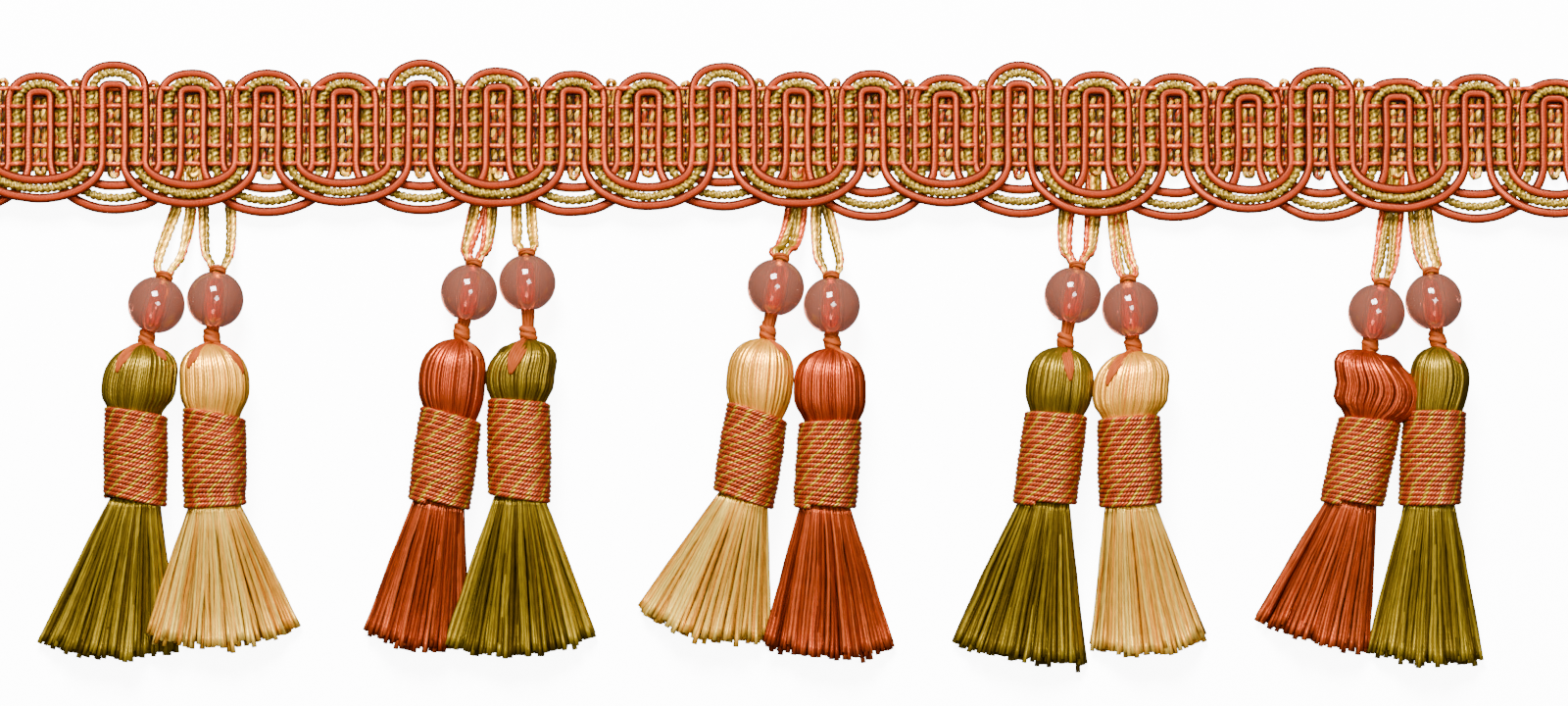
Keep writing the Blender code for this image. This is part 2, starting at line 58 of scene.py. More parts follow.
# Where the upper side of a swept strand lies in its UV map, in turns; painted shade on a strand's
# flanks grows away from it.
CREST_TURN = 0.75
# The fullness of an arch that is half an ellipse.
ELLIPSE = 2.0
# Heights on the trim where the hangers are sewn in, cross the scallops and bend to the bead.
HANGER_ROOT = -6.8
HANGER_CROSSING = -12.5
HANGER_BEND = -16.9
# How far across and how far from the axis the skirt's yarns leave the neck.
SKIRT_REACH = 4.1
SKIRT_ROOT = 4.15
# The height of the centre line of a skirt's yarn that lies on the floor.
YARN_REST = 0.42


def linear(colour: Colour) -> tuple[float, float, float, float]:
    """Turn a display colour into the linear colour that a shader takes.

    Args:
        colour: red, green and blue, from 0 to 255.

    Returns:
        Linear red, green, blue and an alpha of 1.
    """
    parts = []
    for value in colour:
        share = value / 255
        parts.append(share / 12.92 if share <= 0.04045 else ((share + 0.055) / 1.055) ** 2.4)
    return (*parts, 1.0)


def cumulative_length(path: Path) -> np.ndarray:
    """Return the distance travelled along a path at each of its points."""
    steps = np.linalg.norm(np.diff(path, axis=0), axis=1)
    return np.concatenate([[0.0], np.cumsum(steps)])


def resample(path: Path, step: float) -> Path:
    """Space the points of a path evenly.

    Args:
        path: the points, in millimetres.
        step: the distance wanted between points.

    Returns:
        The new points, from the same start to the same end.
    """
    along = cumulative_length(path)
    count = max(3, int(round(along[-1] / step)) + 1)
    places = np.linspace(0.0, along[-1], count)
    return np.stack([np.interp(places, along, path[:, axis]) for axis in range(3)], axis=1)


def smooth_route(points: Sequence[Sequence[float]], step: float) -> Path:
    """Pass a smooth curve through a few points.

    Args:
        points: the points that the route passes, in millimetres.
        step: the distance wanted between the points that come back.

    Returns:
        An evenly spaced path on a Catmull-Rom curve.
    """
    knots = np.asarray(points, dtype=float)
    padded = np.vstack([2 * knots[0] - knots[1], knots, 2 * knots[-1] - knots[-2]])
    share = np.linspace(0.0, 1.0, 13)[:-1, None]
    spans = []
    for a, b, c, d in zip(padded, padded[1:], padded[2:], padded[3:]):
        spans.append(
            0.5
            * (
                2 * b
                + (c - a) * share
                + (2 * a - 5 * b + 4 * c - d) * share**2
                + (3 * b - a - 3 * c + d) * share**3
            )
        )
    spans.append(knots[-1:])
    return resample(np.vstack(spans), step)


def smooth_step(value: np.ndarray | float) -> np.ndarray | float:
    """Ease a share from 0 to 1."""
    share = np.clip(value, 0.0, 1.0)
    return share * share * (3.0 - 2.0 * share)


def wander(count: int, step: float, wave: float, amount: float, rng: np.random.Generator) -> Path:
    """Make the small stray of a hand-laid yarn.

    Args:
        count: how many points the yarn has.
        step: the distance between them.
        wave: the distance over which the stray turns.
        amount: its usual size.
        rng: the source of chance.

    Returns:
        An offset for each point, in millimetres.
    """
    knots = max(3, int(count * step / wave) + 2)
    places = np.linspace(0, knots - 1, count)
    base = np.floor(places).astype(int)
    share = smooth_step(places - base)[:, None]
    values = rng.normal(0.0, amount, (knots + 1, 3))
    return values[base] * (1 - share) + values[base + 1] * share


class Profile(Enum):
    """Cross-sections of yarns and cords, as angle in degrees and radius of each corner."""

    ROUND_4 = tuple((90.0 * turn, 1.0) for turn in range(4))
    ROUND_5 = tuple((72.0 * turn, 1.0) for turn in range(5))
    ROUND_6 = tuple((60.0 * turn, 1.0) for turn in range(6))
    ROUND_10 = tuple((36.0 * turn, 1.0) for turn in range(10))
    GIMP = (
        (0, 1.04), (48, 0.98), (90, 0.95), (132, 0.98), (180, 1.04),
        (222, 1.0), (252, 0.98), (270, 0.84), (288, 0.98), (318, 1.0),
    )
    TWO_PLY = ((-90, 0.66), (-35, 0.96), (35, 0.96), (90, 0.66), (145, 0.96), (215, 0.96))
    TWO_PLY_DEEP = (
        (-90, 0.66), (-42, 0.9), (0, 1.0), (42, 0.9),
        (90, 0.66), (138, 0.9), (180, 1.0), (222, 0.9),
    )

    def curve(self) -> bpy.types.Object:
        """Return the hidden guide curve of this cross-section, made once.

        Returns:
            The guide object, whose curve other curves take as their bevel.
        """
        name = f"guide_{self.name.lower()}"
        guide = bpy.data.objects.get(name)
        if guide is None:
            outline = bpy.data.curves.new(name, "CURVE")
            spline = outline.splines.new("POLY")
            spline.points.add(len(self.value) - 1)
            for point, (angle, radius) in zip(spline.points, self.value):
                turn = -math.radians(angle)
                point.co = (MM * radius * math.cos(turn), MM * radius * math.sin(turn), 0, 1)
            spline.use_cyclic_u = True
            guide = bpy.data.objects.new(name, outline)
        return guide


@dataclass
class Bundle:
    """Strands that share a cross-section and become one mesh.

    Args:
        profile: the cross-section of each strand.
        edge: how much painted shade darkens the strands' flanks, from 0 to 1.
        paths: the strands' centre lines, in millimetres.
        radii: each strand's radius at its points.
        tilts: each strand's twist at its points, in radians.
        tones: where each strand's colour lies in the finish's palette.
    """

    profile: Profile
    edge: float = 0.0
    paths: list[Path] = field(default_factory=list)
    radii: list[np.ndarray] = field(default_factory=list)
    tilts: list[np.ndarray] = field(default_factory=list)
    tones: list[float] = field(default_factory=list)

    def add(
        self,
        path: Path,
        radius: float | np.ndarray,
        tone: float,
        pitch: float = 0.0,
        phase: float = 0.0,
    ) -> None:
        """Lay one more strand.

        Args:
            path: its centre line, in millimetres.
            radius: its radius, or one for each point.
            tone: where its colour lies in the finish's palette, from 0 to 1.
            pitch: the length of one turn of its twist, or 0 for none.
            phase: where its twist starts, in radians.
        """
        along = cumulative_length(path)
        self.paths.append(path)
        self.radii.append(np.broadcast_to(np.asarray(radius, dtype=float), (len(path),)))
        self.tilts.append(phase + (math.tau * along / pitch if pitch else np.zeros(len(path))))
        self.tones.append(tone)

    def mesh(self, name: str) -> bpy.types.Mesh:
        """Sweep the cross-section along every strand and close the ends.

        Args:
            name: the name of the new mesh.

        Returns:
            A mesh with a tone on each point and a UV map of millimetres along the strand
            and turns round it.
        """
        curve = bpy.data.curves.new(name, "CURVE")
        curve.dimensions = "3D"
        curve.twist_mode = "MINIMUM"
        curve.bevel_mode = "OBJECT"
        curve.bevel_object = self.profile.curve()
        for path, radius, tilt in zip(self.paths, self.radii, self.tilts):
            spline = curve.splines.new("POLY")
            spline.points.add(len(path) - 1)
            places = np.hstack([path * MM, np.ones((len(path), 1))])
            spline.points.foreach_set("co", places.ravel())
            spline.points.foreach_set("radius", radius)
            spline.points.foreach_set("tilt", tilt)
        holder = bpy.data.objects.new(name, curve)
        bpy.context.scene.collection.objects.link(holder)
        graph = bpy.context.evaluated_depsgraph_get()
        mesh = bpy.data.meshes.new_from_object(holder.evaluated_get(graph))
        bpy.data.objects.remove(holder, do_unlink=True)
        bpy.data.curves.remove(curve)
        self._mark(mesh)
        self._close(mesh)
        return mesh

    def _mark(self, mesh: bpy.types.Mesh) -> None:
        """Write each point's tone and each corner's place along its strand.

        Args:
            mesh: the swept mesh, changed in place.
        """
        corners = len(self.profile.value)
        along = np.repeat(np.concatenate([cumulative_length(path) for path in self.paths]), corners)
        counts = [len(path) * corners for path in self.paths]
        tones = np.repeat(np.asarray(self.tones), counts).astype(np.float32)
        mesh.attributes.new("tone", "FLOAT", "POINT").data.foreach_set("value", tones)
        edges = np.full(len(tones), self.edge, dtype=np.float32)
        mesh.attributes.new("edge", "FLOAT", "POINT").data.foreach_set("value", edges)
        corner_points = np.empty(len(mesh.loops), dtype=np.int32)
        mesh.loops.foreach_get("vertex_index", corner_points)
        layer = mesh.uv_layers[0]
        layer.name = "yarn"
        places = np.empty(len(mesh.loops) * 2, dtype=np.float32)
        layer.data.foreach_get("uv", places)
        places = places.reshape(-1, 2)
        places[:, 0] = along[corner_points]
        layer.data.foreach_set("uv", places.ravel())

    @staticmethod
    def _close(mesh: bpy.types.Mesh) -> None:
        """Fill the open ends of the strands.

        Args:
            mesh: the swept mesh, changed in place.
        """
        body = bmesh.new()
        body.from_mesh(mesh)
        rims = [edge for edge in body.edges if edge.is_boundary]
        bmesh.ops.holes_fill(body, edges=rims, sides=0)
        bmesh.ops.recalc_face_normals(body, faces=body.faces)
        for face in body.faces:
            face.smooth = True
        body.to_mesh(mesh)
        body.free()


class Nodes:
    """A small drafting table for a material's nodes.

    Args:
        name: the material's name.
    """

    def __init__(self, name: str) -> None:
        """Start a material with a plain shader.

        Args:
            name: the material's name.
        """
        self.material = bpy.data.materials.new(name)
        self.material.use_nodes = True
        self.tree = self.material.node_tree
        self.shader = self.tree.nodes["Principled BSDF"]

    def node(self, kind: str, **settings: object) -> bpy.types.Node:
        """Add a node and set its named settings.

        Args:
            kind: the node's type.
            settings: its settings, by name.

        Returns:
            The new node.
        """
        item = self.tree.nodes.new(kind)
        for key, value in settings.items():
            setattr(item, key, value)
        return item

    def feed(self, target: Socket, value: Socket | float | tuple) -> None:
        """Link a socket to a target, or set the target to a constant.

        Args:
            target: the input socket.
            value: what it gets.
        """
        if isinstance(value, bpy.types.NodeSocket):
            self.tree.links.new(value, target)
        else:
            target.default_value = value

    def sum(self, operation: str, first: Socket | float, second: Socket | float = 0.0) -> Socket:
        """Return the result of one sum.

        Args:
            operation: the sum's name.
            first: its first value.
            second: its second value.

        Returns:
            The socket with the result.
        """
        item = self.node("ShaderNodeMath", operation=operation)
        self.feed(item.inputs[0], first)
        self.feed(item.inputs[1], second)
        return item.outputs[0]

    def span(
        self, value: Socket, low: float, high: float, start: float = 0.0, end: float = 1.0
    ) -> Socket:
        """Map a value from one range onto another.

        Args:
            value: the value.
            low: what the start becomes.
            high: what the end becomes.
            start: where the old range starts.
            end: where it ends.

        Returns:
            The socket with the mapped value.
        """
        item = self.node("ShaderNodeMapRange")
        self.feed(item.inputs["Value"], value)
        limits = {"From Min": start, "From Max": end, "To Min": low, "To Max": high}
        for key, number in limits.items():
            item.inputs[key].default_value = number
        return item.outputs["Result"]

    def noise(self, where: Socket, scale: float, detail: float = 2.0) -> Socket:
        """Return a cloudy value from 0 to 1.

        Args:
            where: the place that it is read at.
            scale: how fine the cloud is.
            detail: how many finer clouds lie on it.

        Returns:
            The socket with the value.
        """
        item = self.node("ShaderNodeTexNoise")
        self.feed(item.inputs["Vector"], where)
        item.inputs["Scale"].default_value = scale
        item.inputs["Detail"].default_value = detail
        return item.outputs["Fac"]

    def vector(self, x: Socket | float, y: Socket | float, z: Socket | float) -> Socket:
        """Combine three values.

        Args:
            x: the first value.
            y: the second.
            z: the third.

        Returns:
            The socket with the vector.
        """
        item = self.node("ShaderNodeCombineXYZ")
        for target, value in zip(item.inputs, (x, y, z)):
            self.feed(target, value)
        return item.outputs[0]

    def split(self, value: Socket) -> tuple[Socket, Socket, Socket]:
        """Separate a vector into its three values.

        Args:
            value: the vector.

        Returns:
            The sockets of its three values.
        """
        item = self.node("ShaderNodeSeparateXYZ")
        self.feed(item.inputs[0], value)
        return tuple(item.outputs)

    def ramp(
        self, value: Socket, stops: Sequence[tuple[float, Colour]], stepped: bool = False
    ) -> Socket:
        """Return a colour from a palette.

        Args:
            value: where in the palette, from 0 to 1.
            stops: place and colour of each stop.
            stepped: whether the colours change without a blend.

        Returns:
            The colour socket.
        """
        item = self.node("ShaderNodeValToRGB")
        item.color_ramp.interpolation = "CONSTANT" if stepped else "LINEAR"
        elements = item.color_ramp.elements
        while len(elements) < len(stops):
            elements.new(0.5)
        for element, (place, colour) in zip(elements, stops):
            element.position = place
            element.color = linear(colour)
        self.feed(item.inputs["Fac"], value)
        return item.outputs["Color"]

    def mix(self, share: Socket | float, first: Socket | tuple, second: Socket | tuple) -> Socket:
        """Blend two colours.

        Args:
            share: how much of the second colour shows.
            first: the first colour.
            second: the second colour.

        Returns:
            The socket with the blend.
        """
        item = self.node("ShaderNodeMix", data_type="RGBA")
        self.feed(item.inputs[0], share)
        self.feed(item.inputs[6], first)
        self.feed(item.inputs[7], second)
        return item.outputs[2]

    def bump(self, height: Socket, depth: float) -> None:
        """Raise the surface by a height of 0 to 1 times a depth in millimetres.

        Args:
            height: the height, from 0 to 1.
            depth: what a height of 1 stands for, in millimetres.
        """
        item = self.node("ShaderNodeBump")
        item.inputs["Strength"].default_value = 1.0
        item.inputs["Distance"].default_value = depth * MM
        self.feed(item.inputs["Height"], height)
        self.feed(self.shader.inputs["Normal"], item.outputs["Normal"])

    def set(self, **values: float | tuple) -> None:
        """Set shader sockets to constants, with underscores for spaces in their names."""
        for key, value in values.items():
            self.shader.inputs[key.replace("_", " ")].default_value = value


@dataclass(frozen=True)
class YarnFinish:
    """The look of a twisted, wrapped or plied yarn.

    Args:
        name: the material's name.
        slot: the record's material slot; not used.
        palette: place and colour of each stop that a strand's tone picks from.
        dark: the painted shade colour, down in the twist and on the flanks.
        pitch: the length of one ridge of the surface, in millimetres.
        turns: how often a ridge winds round the strand in one pitch.
        groove: how much painted shade darkens the surface between ridges, from 0 to 1.
        depth: the height of the ridges, in millimetres.
        plies: how many plies the cross-section shows.
        ply_shift: how far each further ply moves along the palette.
        drift: how far the colour moves along the palette as the yarn runs on.
        stepped: whether the palette changes without a blend.
        streak: how uneven the fibres are, from 0 to 1.
        roughness: the shader's roughness.
        gloss: the strength of its satin gloss.
        gloss_tint: the colour of that gloss.
        satin: how much of the light it throws back as coloured satin, from 0 to 1.
        twist: the length in which the plies turn once, in millimetres, or 0 for straight ones.
    """

    name: str
    slot: str
    palette: tuple[tuple[float, Colour], ...]
    dark: Colour
    pitch: float = 0.5
    turns: int = 1
    groove: float = 0.5
    depth: float = 0.06
    plies: int = 1
    ply_shift: float = 0.0
    drift: float = 0.0
    stepped: bool = False
    streak: float = 0.35
    roughness: float = 0.38
    gloss: float = 0.8
    gloss_tint: Colour = (255, 235, 200)
    satin: float = 0.25
    twist: float = 0.0

    def material(self) -> bpy.types.Material:
        """Return the material, made once.

        Returns:
            The material.
        """
        ready = bpy.data.materials.get(f"{self.name}_finish")
        if ready is not None:
            return ready
        nodes = Nodes(f"{self.name}_finish")
        along, around, _ = nodes.split(nodes.node("ShaderNodeUVMap", uv_map="yarn").outputs["UV"])
        tone = nodes.node("ShaderNodeAttribute", attribute_name="tone").outputs["Fac"]
        flat = around
        if self.twist:
            around = nodes.sum("ADD", around, nodes.sum("DIVIDE", along, self.twist))
        strand = nodes.sum("MULTIPLY", tone, 61.0)
        place = tone
        if self.plies > 1:
            turned = nodes.sum("FRACT", around)
            ply = nodes.sum("FLOOR", nodes.sum("MULTIPLY", turned, float(self.plies)))
            place = nodes.sum("ADD", place, nodes.sum("MULTIPLY", ply, self.ply_shift))
        if self.drift:
            drift_place = nodes.vector(nodes.sum("MULTIPLY", along, 0.16), strand, 0.0)
            slow = nodes.noise(drift_place, 1.0, 1.0)
            place = nodes.sum("ADD", place, nodes.span(slow, 0.0, self.drift, 0.3, 0.7))
        if self.plies > 1 or self.drift:
            place = nodes.sum("FRACT", place)
        base = nodes.ramp(place, self.palette, self.stepped)
        slow_along = nodes.sum("MULTIPLY", along, 0.5)
        fibre_place = nodes.vector(slow_along, nodes.sum("MULTIPLY", around, 9.0), strand)
        fibre = nodes.noise(fibre_place, 1.0, 3.0)
        if self.twist:
            half_turns = nodes.sum("MULTIPLY", around, math.pi * self.plies)
            ridge = nodes.sum("ABSOLUTE", nodes.sum("SINE", half_turns))
        else:
            lengthwise = nodes.sum("DIVIDE", along, self.pitch)
            turn = nodes.sum("ADD", lengthwise, nodes.sum("MULTIPLY", around, self.turns))
            wave = nodes.sum("SINE", nodes.sum("MULTIPLY", turn, math.tau))
            ridge = nodes.span(wave, 0.0, 1.0, -1.0, 1.0)
        # Painted shade: the surface darkens towards the dark colour between the ridges, or between
        # the plies of a twisted cord.
        low = nodes.sum("MULTIPLY", nodes.sum("SUBTRACT", 1.0, ridge), self.groove)
        base = nodes.mix(low, base, linear(self.dark))
        # Painted shade: the flanks away from the upper side darken towards the dark colour, as far
        # as the strand's edge value asks.
        edge = nodes.node("ShaderNodeAttribute", attribute_name="edge").outputs["Fac"]
        off_crest = nodes.sum("SUBTRACT", flat, CREST_TURN)
        crest = nodes.sum("COSINE", nodes.sum("MULTIPLY", off_crest, math.tau))
        painted_flank_shade = nodes.sum("MULTIPLY", edge, nodes.span(crest, 1.0, 0.0, 0.05, 0.75))
        base = nodes.mix(painted_flank_shade, base, linear(self.dark))
        value = nodes.span(fibre, 1.0 - self.streak, 1.0 + self.streak, 0.3, 0.7)
        streaked = nodes.node("ShaderNodeHueSaturation")
        nodes.feed(streaked.inputs["Value"], value)
        nodes.feed(streaked.inputs["Color"], base)
        nodes.feed(nodes.shader.inputs["Base Color"], streaked.outputs["Color"])
        nodes.bump(nodes.sum("ADD", ridge, nodes.sum("MULTIPLY", fibre, 0.4)), self.depth)
        nodes.set(Roughness=self.roughness, Metallic=self.satin)
        nodes.set(Specular_IOR_Level=self.gloss, Specular_Tint=linear(self.gloss_tint))
        return nodes.material


@dataclass(frozen=True)
class ClothFinish:
    """The woven cloth under the heading's columns, coloured very dark as painted shade in the gaps
    between the columns.

    Args:
        name: the material's name.
        slot: the record's material slot; not used.
        thread: the colour of the threads, made very dark as painted shade.
        dark: the colour between them, darker still as painted shade.
        pitch: the distance between threads, in millimetres.
    """

    name: str
    slot: str
    thread: Colour
    dark: Colour
    pitch: float = 0.55

    def material(self) -> bpy.types.Material:
        """Return the material.

        Returns:
            The material.
        """
        nodes = Nodes(self.name)
        place = nodes.node("ShaderNodeTexCoord").outputs["Object"]
        x, y, _ = nodes.split(place)
        turn = math.tau / (self.pitch * MM)
        across = nodes.sum("SINE", nodes.sum("MULTIPLY", x, turn))
        down = nodes.sum("SINE", nodes.sum("MULTIPLY", y, turn))
        weave = nodes.span(nodes.sum("MULTIPLY", across, down), 0.0, 1.0, -1.0, 1.0)
        cloud = nodes.noise(place, 900.0)
        share = nodes.sum("MULTIPLY", weave, cloud)
        colour = nodes.mix(share, linear(self.dark), linear(self.thread))
        nodes.feed(nodes.shader.inputs["Base Color"], colour)
        nodes.bump(weave, 0.12)
        nodes.set(Roughness=0.85)
        return nodes.material


@dataclass(frozen=True)
class BeadFinish:
    """Clear tinted bead material.

    Args:
        name: the material's name.
        slot: the record's material slot; not used.
        tint: the colour that light takes as it passes.
    """

    name: str
    slot: str
    tint: Colour

    def material(self) -> bpy.types.Material:
        """Return the material, made once.

        Returns:
            The material.
        """
        ready = bpy.data.materials.get(f"{self.name}_finish")
        if ready is not None:
            return ready
        nodes = Nodes(f"{self.name}_finish")
        place = nodes.node("ShaderNodeTexCoord").outputs["Object"]
        cloud = nodes.noise(place, 260.0, 3.0)
        scuff = nodes.noise(place, 2600.0, 2.0)
        tint = linear(self.tint)
        pale = tuple(min(1.0, part * 1.14) for part in tint[:3])
        nodes.feed(nodes.shader.inputs["Base Color"], nodes.mix(cloud, tint, (*pale, 1.0)))
        nodes.feed(nodes.shader.inputs["Roughness"], nodes.span(scuff, 0.02, 0.09, 0.35, 0.8))
        nodes.set(Transmission_Weight=0.945, IOR=1.49)
        return nodes.material


def dress(
    name: str, mesh: bpy.types.Mesh, finish: YarnFinish | ClothFinish | BeadFinish, *nodes: str
) -> bpy.types.Object:
    """Put a finished mesh in the scene.

    Args:
        name: the piece's name.
        mesh: its mesh, in metres, in the frame's own place.
        finish: its finish.
        nodes: the frame's nodes that it stands for.

    Returns:
        The new object, riding on the trim's body.
    """
    piece = bpy.data.objects.new(name, mesh)
    mesh.materials.append(finish.material())
    bpy.context.scene.collection.objects.link(piece)
    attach(piece, BODY)
    if nodes:
        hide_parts(*nodes)
    LOG.info("%s: %d faces", name, len(mesh.polygons))
    return piece


def join_meshes(name: str, meshes: Sequence[bpy.types.Mesh]) -> bpy.types.Mesh:
    """Join meshes into one, keeping their tones and UV maps.

    Args:
        name: the name of the joined mesh.
        meshes: the meshes, which are used up.

    Returns:
        The joined mesh.
    """
    body = bmesh.new()
    for mesh in meshes:
        body.from_mesh(mesh)
    joined = bpy.data.meshes.new(name)
    body.to_mesh(joined)
    body.free()
    for mesh in meshes:
        bpy.data.meshes.remove(mesh)
    return joined


# In each yarn finish, dark is the painted shade colour between ridges or plies and on flanks.
RUST_GIMP = YarnFinish(
    "rust_gimp", "rust_gimp",
    ((0.0, (128, 36, 11)), (1.0, (144, 44, 16))),
    dark=(52, 8, 2), pitch=0.24, turns=1, groove=0.35, depth=0.035, streak=0.12,
    gloss=0.55, gloss_tint=(255, 180, 140), satin=0.4,
)
OLIVE_CORD = YarnFinish(
    "olive_cord", "olive_cord",
    ((0.0, (116, 88, 18)), (1.0, (146, 118, 32))),
    dark=(36, 20, 2), pitch=0.34, turns=5, groove=0.55, depth=0.05, streak=0.3,
    gloss=0.8, gloss_tint=(255, 235, 150), satin=0.3,
)
GROUND_YARN = YarnFinish(
    "ground_yarn", "ground_yarn",
    (
        (0.0, (160, 104, 12)), (0.2, (100, 70, 4)), (0.34, (140, 42, 12)),
        (0.5, (214, 158, 44)), (0.64, (74, 50, 4)), (0.76, (146, 62, 14)), (0.88, (226, 178, 62)),
    ),
    dark=(70, 30, 6), pitch=0.6, turns=6, groove=0.3, depth=0.05, plies=2, ply_shift=0.31,
    drift=0.7, stepped=True, gloss=0.6, roughness=0.36, satin=0.4,
)
# The ground cloth is real, but its very dark colours are painted shade for the gaps between the
# columns.
SHADE_DARK_GROUND_CLOTH = ClothFinish("shade_dark_ground_cloth", "ground_yarn", thread=(92, 26, 8), dark=(26, 5, 1))
BINDING = YarnFinish(
    "binding_thread", "rust_gimp",
    ((0.0, (160, 50, 20)), (1.0, (180, 66, 30))),
    dark=(100, 26, 8), pitch=0.6, turns=4, groove=0.3, depth=0.03, streak=0.25,
    gloss_tint=(255, 190, 150),
)
HANGER_YARN = YarnFinish(
    "hanger_yarn", "hanger_yarn",
    (
        (0.0, (232, 172, 48)), (0.1, (156, 118, 10)), (0.25, (240, 186, 66)),
        (0.35, (210, 148, 30)), (0.48, (112, 84, 4)), (0.6, (180, 132, 16)), (0.86, (180, 58, 16)),
    ),
    dark=(70, 44, 4), pitch=0.7, turns=6, groove=0.3, depth=0.03, plies=2, ply_shift=0.04,
    stepped=True, roughness=0.36, gloss=0.8, satin=0.5,
)
TIE_THREAD = YarnFinish(
    "tie_thread", "tie_thread",
    ((0.0, (104, 40, 7)), (1.0, (128, 54, 12))),
    dark=(84, 26, 4), pitch=1.8, turns=4, groove=0.25, depth=0.03, streak=0.25,
    roughness=0.6, gloss=0.12, satin=0.0,
)
COLLAR_CORD = YarnFinish(
    "collar_cord", "collar_cord",
    ((0.0, (160, 52, 16)), (0.25, (140, 40, 12)), (0.5, (150, 46, 14)), (0.75, (162, 126, 14))),
    dark=(44, 8, 1), pitch=0.42, turns=5, groove=0.95, depth=0.14, plies=4, ply_shift=0.25,
    stepped=True, streak=0.25, gloss=0.8, gloss_tint=(255, 215, 160), satin=0.4, twist=2.6,
)


def tassel_finish(
    name: str, colours: tuple[Colour, Colour, Colour], dark: Colour, streak: float, tint: Colour
) -> YarnFinish:
    """Return the satin finish of one kind of tassel.

    Args:
        name: the name of the finish and of its slot.
        colours: the dark, middle and light colours of its yarns.
        dark: the painted shade colour down between them.
        streak: how uneven the fibres are, from 0 to 1.
        tint: the colour of its gloss.

    Returns:
        The finish.
    """
    return YarnFinish(
        name, name, tuple(zip((0.0, 0.5, 1.0), colours)),
        dark=dark, pitch=0.77, turns=6, groove=0.12, depth=0.008, streak=streak,
        roughness=0.36, gloss=1.0, gloss_tint=tint, satin=0.75,
    )


TASSEL_FINISHES = {
    name: tassel_finish(name, colours, dark, streak, tint)
    for name, colours, dark, streak, tint in (
        (
            "tassel_olive", ((76, 56, 6), (120, 96, 18), (166, 138, 34)),
            (26, 14, 0), 0.4, (255, 232, 120),
        ),
        (
            "tassel_gold", ((216, 144, 34), (240, 178, 56), (254, 214, 92)),
            (112, 52, 6), 0.28, (255, 236, 170),
        ),
        (
            "tassel_rust", ((118, 36, 12), (158, 58, 22), (200, 86, 40)),
            (34, 5, 0), 0.35, (255, 190, 140),
        ),
    )
}
BEAD_ROSE = BeadFinish("bead_rose", "bead_rose", tint=(255, 156, 126))


@dataclass(frozen=True)
class Loop:
    """One loop of the heading, and the scallop under it.

    Args:
        shift: how far it stands off the even pitch.
        top: the height of its top edge.
        drop: the low edge of the scallop beneath it.
    """

    shift: float
    top: float
    drop: float


@dataclass(frozen=True)
class Lay:
    """How one cord of a serpentine lies.

    Args:
        name: outer, olive or inner, as it lies in a loop.
        leg: how far its leg stands from the middle of the loop.
        rise: the height of its arch at the loop's top.
        front_inset: how far it lies above the lowest cord of a front scallop.
        back_inset: the same for a back scallop.
        fullness: how square the arch is, from 2 for an ellipse.
    """

    name: str
    leg: float
    rise: float
    front_inset: float
    back_inset: float
    fullness: float


LOOPS = (
    Loop(0.0, 9.8, -15.0),
    Loop(0.05, 9.4, -13.0),
    Loop(-0.4, 11.3, -14.9),
    Loop(0.2, 9.9, -13.9),
    Loop(-0.07, 9.9, -15.4),
    Loop(0.39, 9.5, -13.6),
    Loop(0.22, 11.6, -15.0),
    Loop(0.54, 10.3, -13.9),
    Loop(0.62, 9.7, -15.3),
    Loop(0.35, 9.4, -14.3),
    Loop(0.27, 11.1, -14.4),
    Loop(-0.12, 9.6, -13.9),
    Loop(-0.12, 9.8, -16.2),
    Loop(-0.59, 9.1, -13.7),
    Loop(-0.99, 11.2, -15.6),
    Loop(-0.72, 9.6, -15.5),
    Loop(-0.29, 9.3, -16.2),
    Loop(-0.52, 8.5, -14.8),
    Loop(-1.4, 10.3, -16.3),
    Loop(-0.99, 8.5, -14.7),
    Loop(-0.56, 9.1, -16.5),
    Loop(0.05, 8.3, -15.6),
)
OUTER = Lay("outer", leg=5.4, rise=4.6, front_inset=3.15, back_inset=4.1, fullness=2.15)
OLIVE = Lay("olive", leg=4.0, rise=3.9, front_inset=1.58, back_inset=1.95, fullness=2.2)
INNER = Lay("inner", leg=1.95, rise=1.5, front_inset=0.0, back_inset=0.0, fullness=3.4)


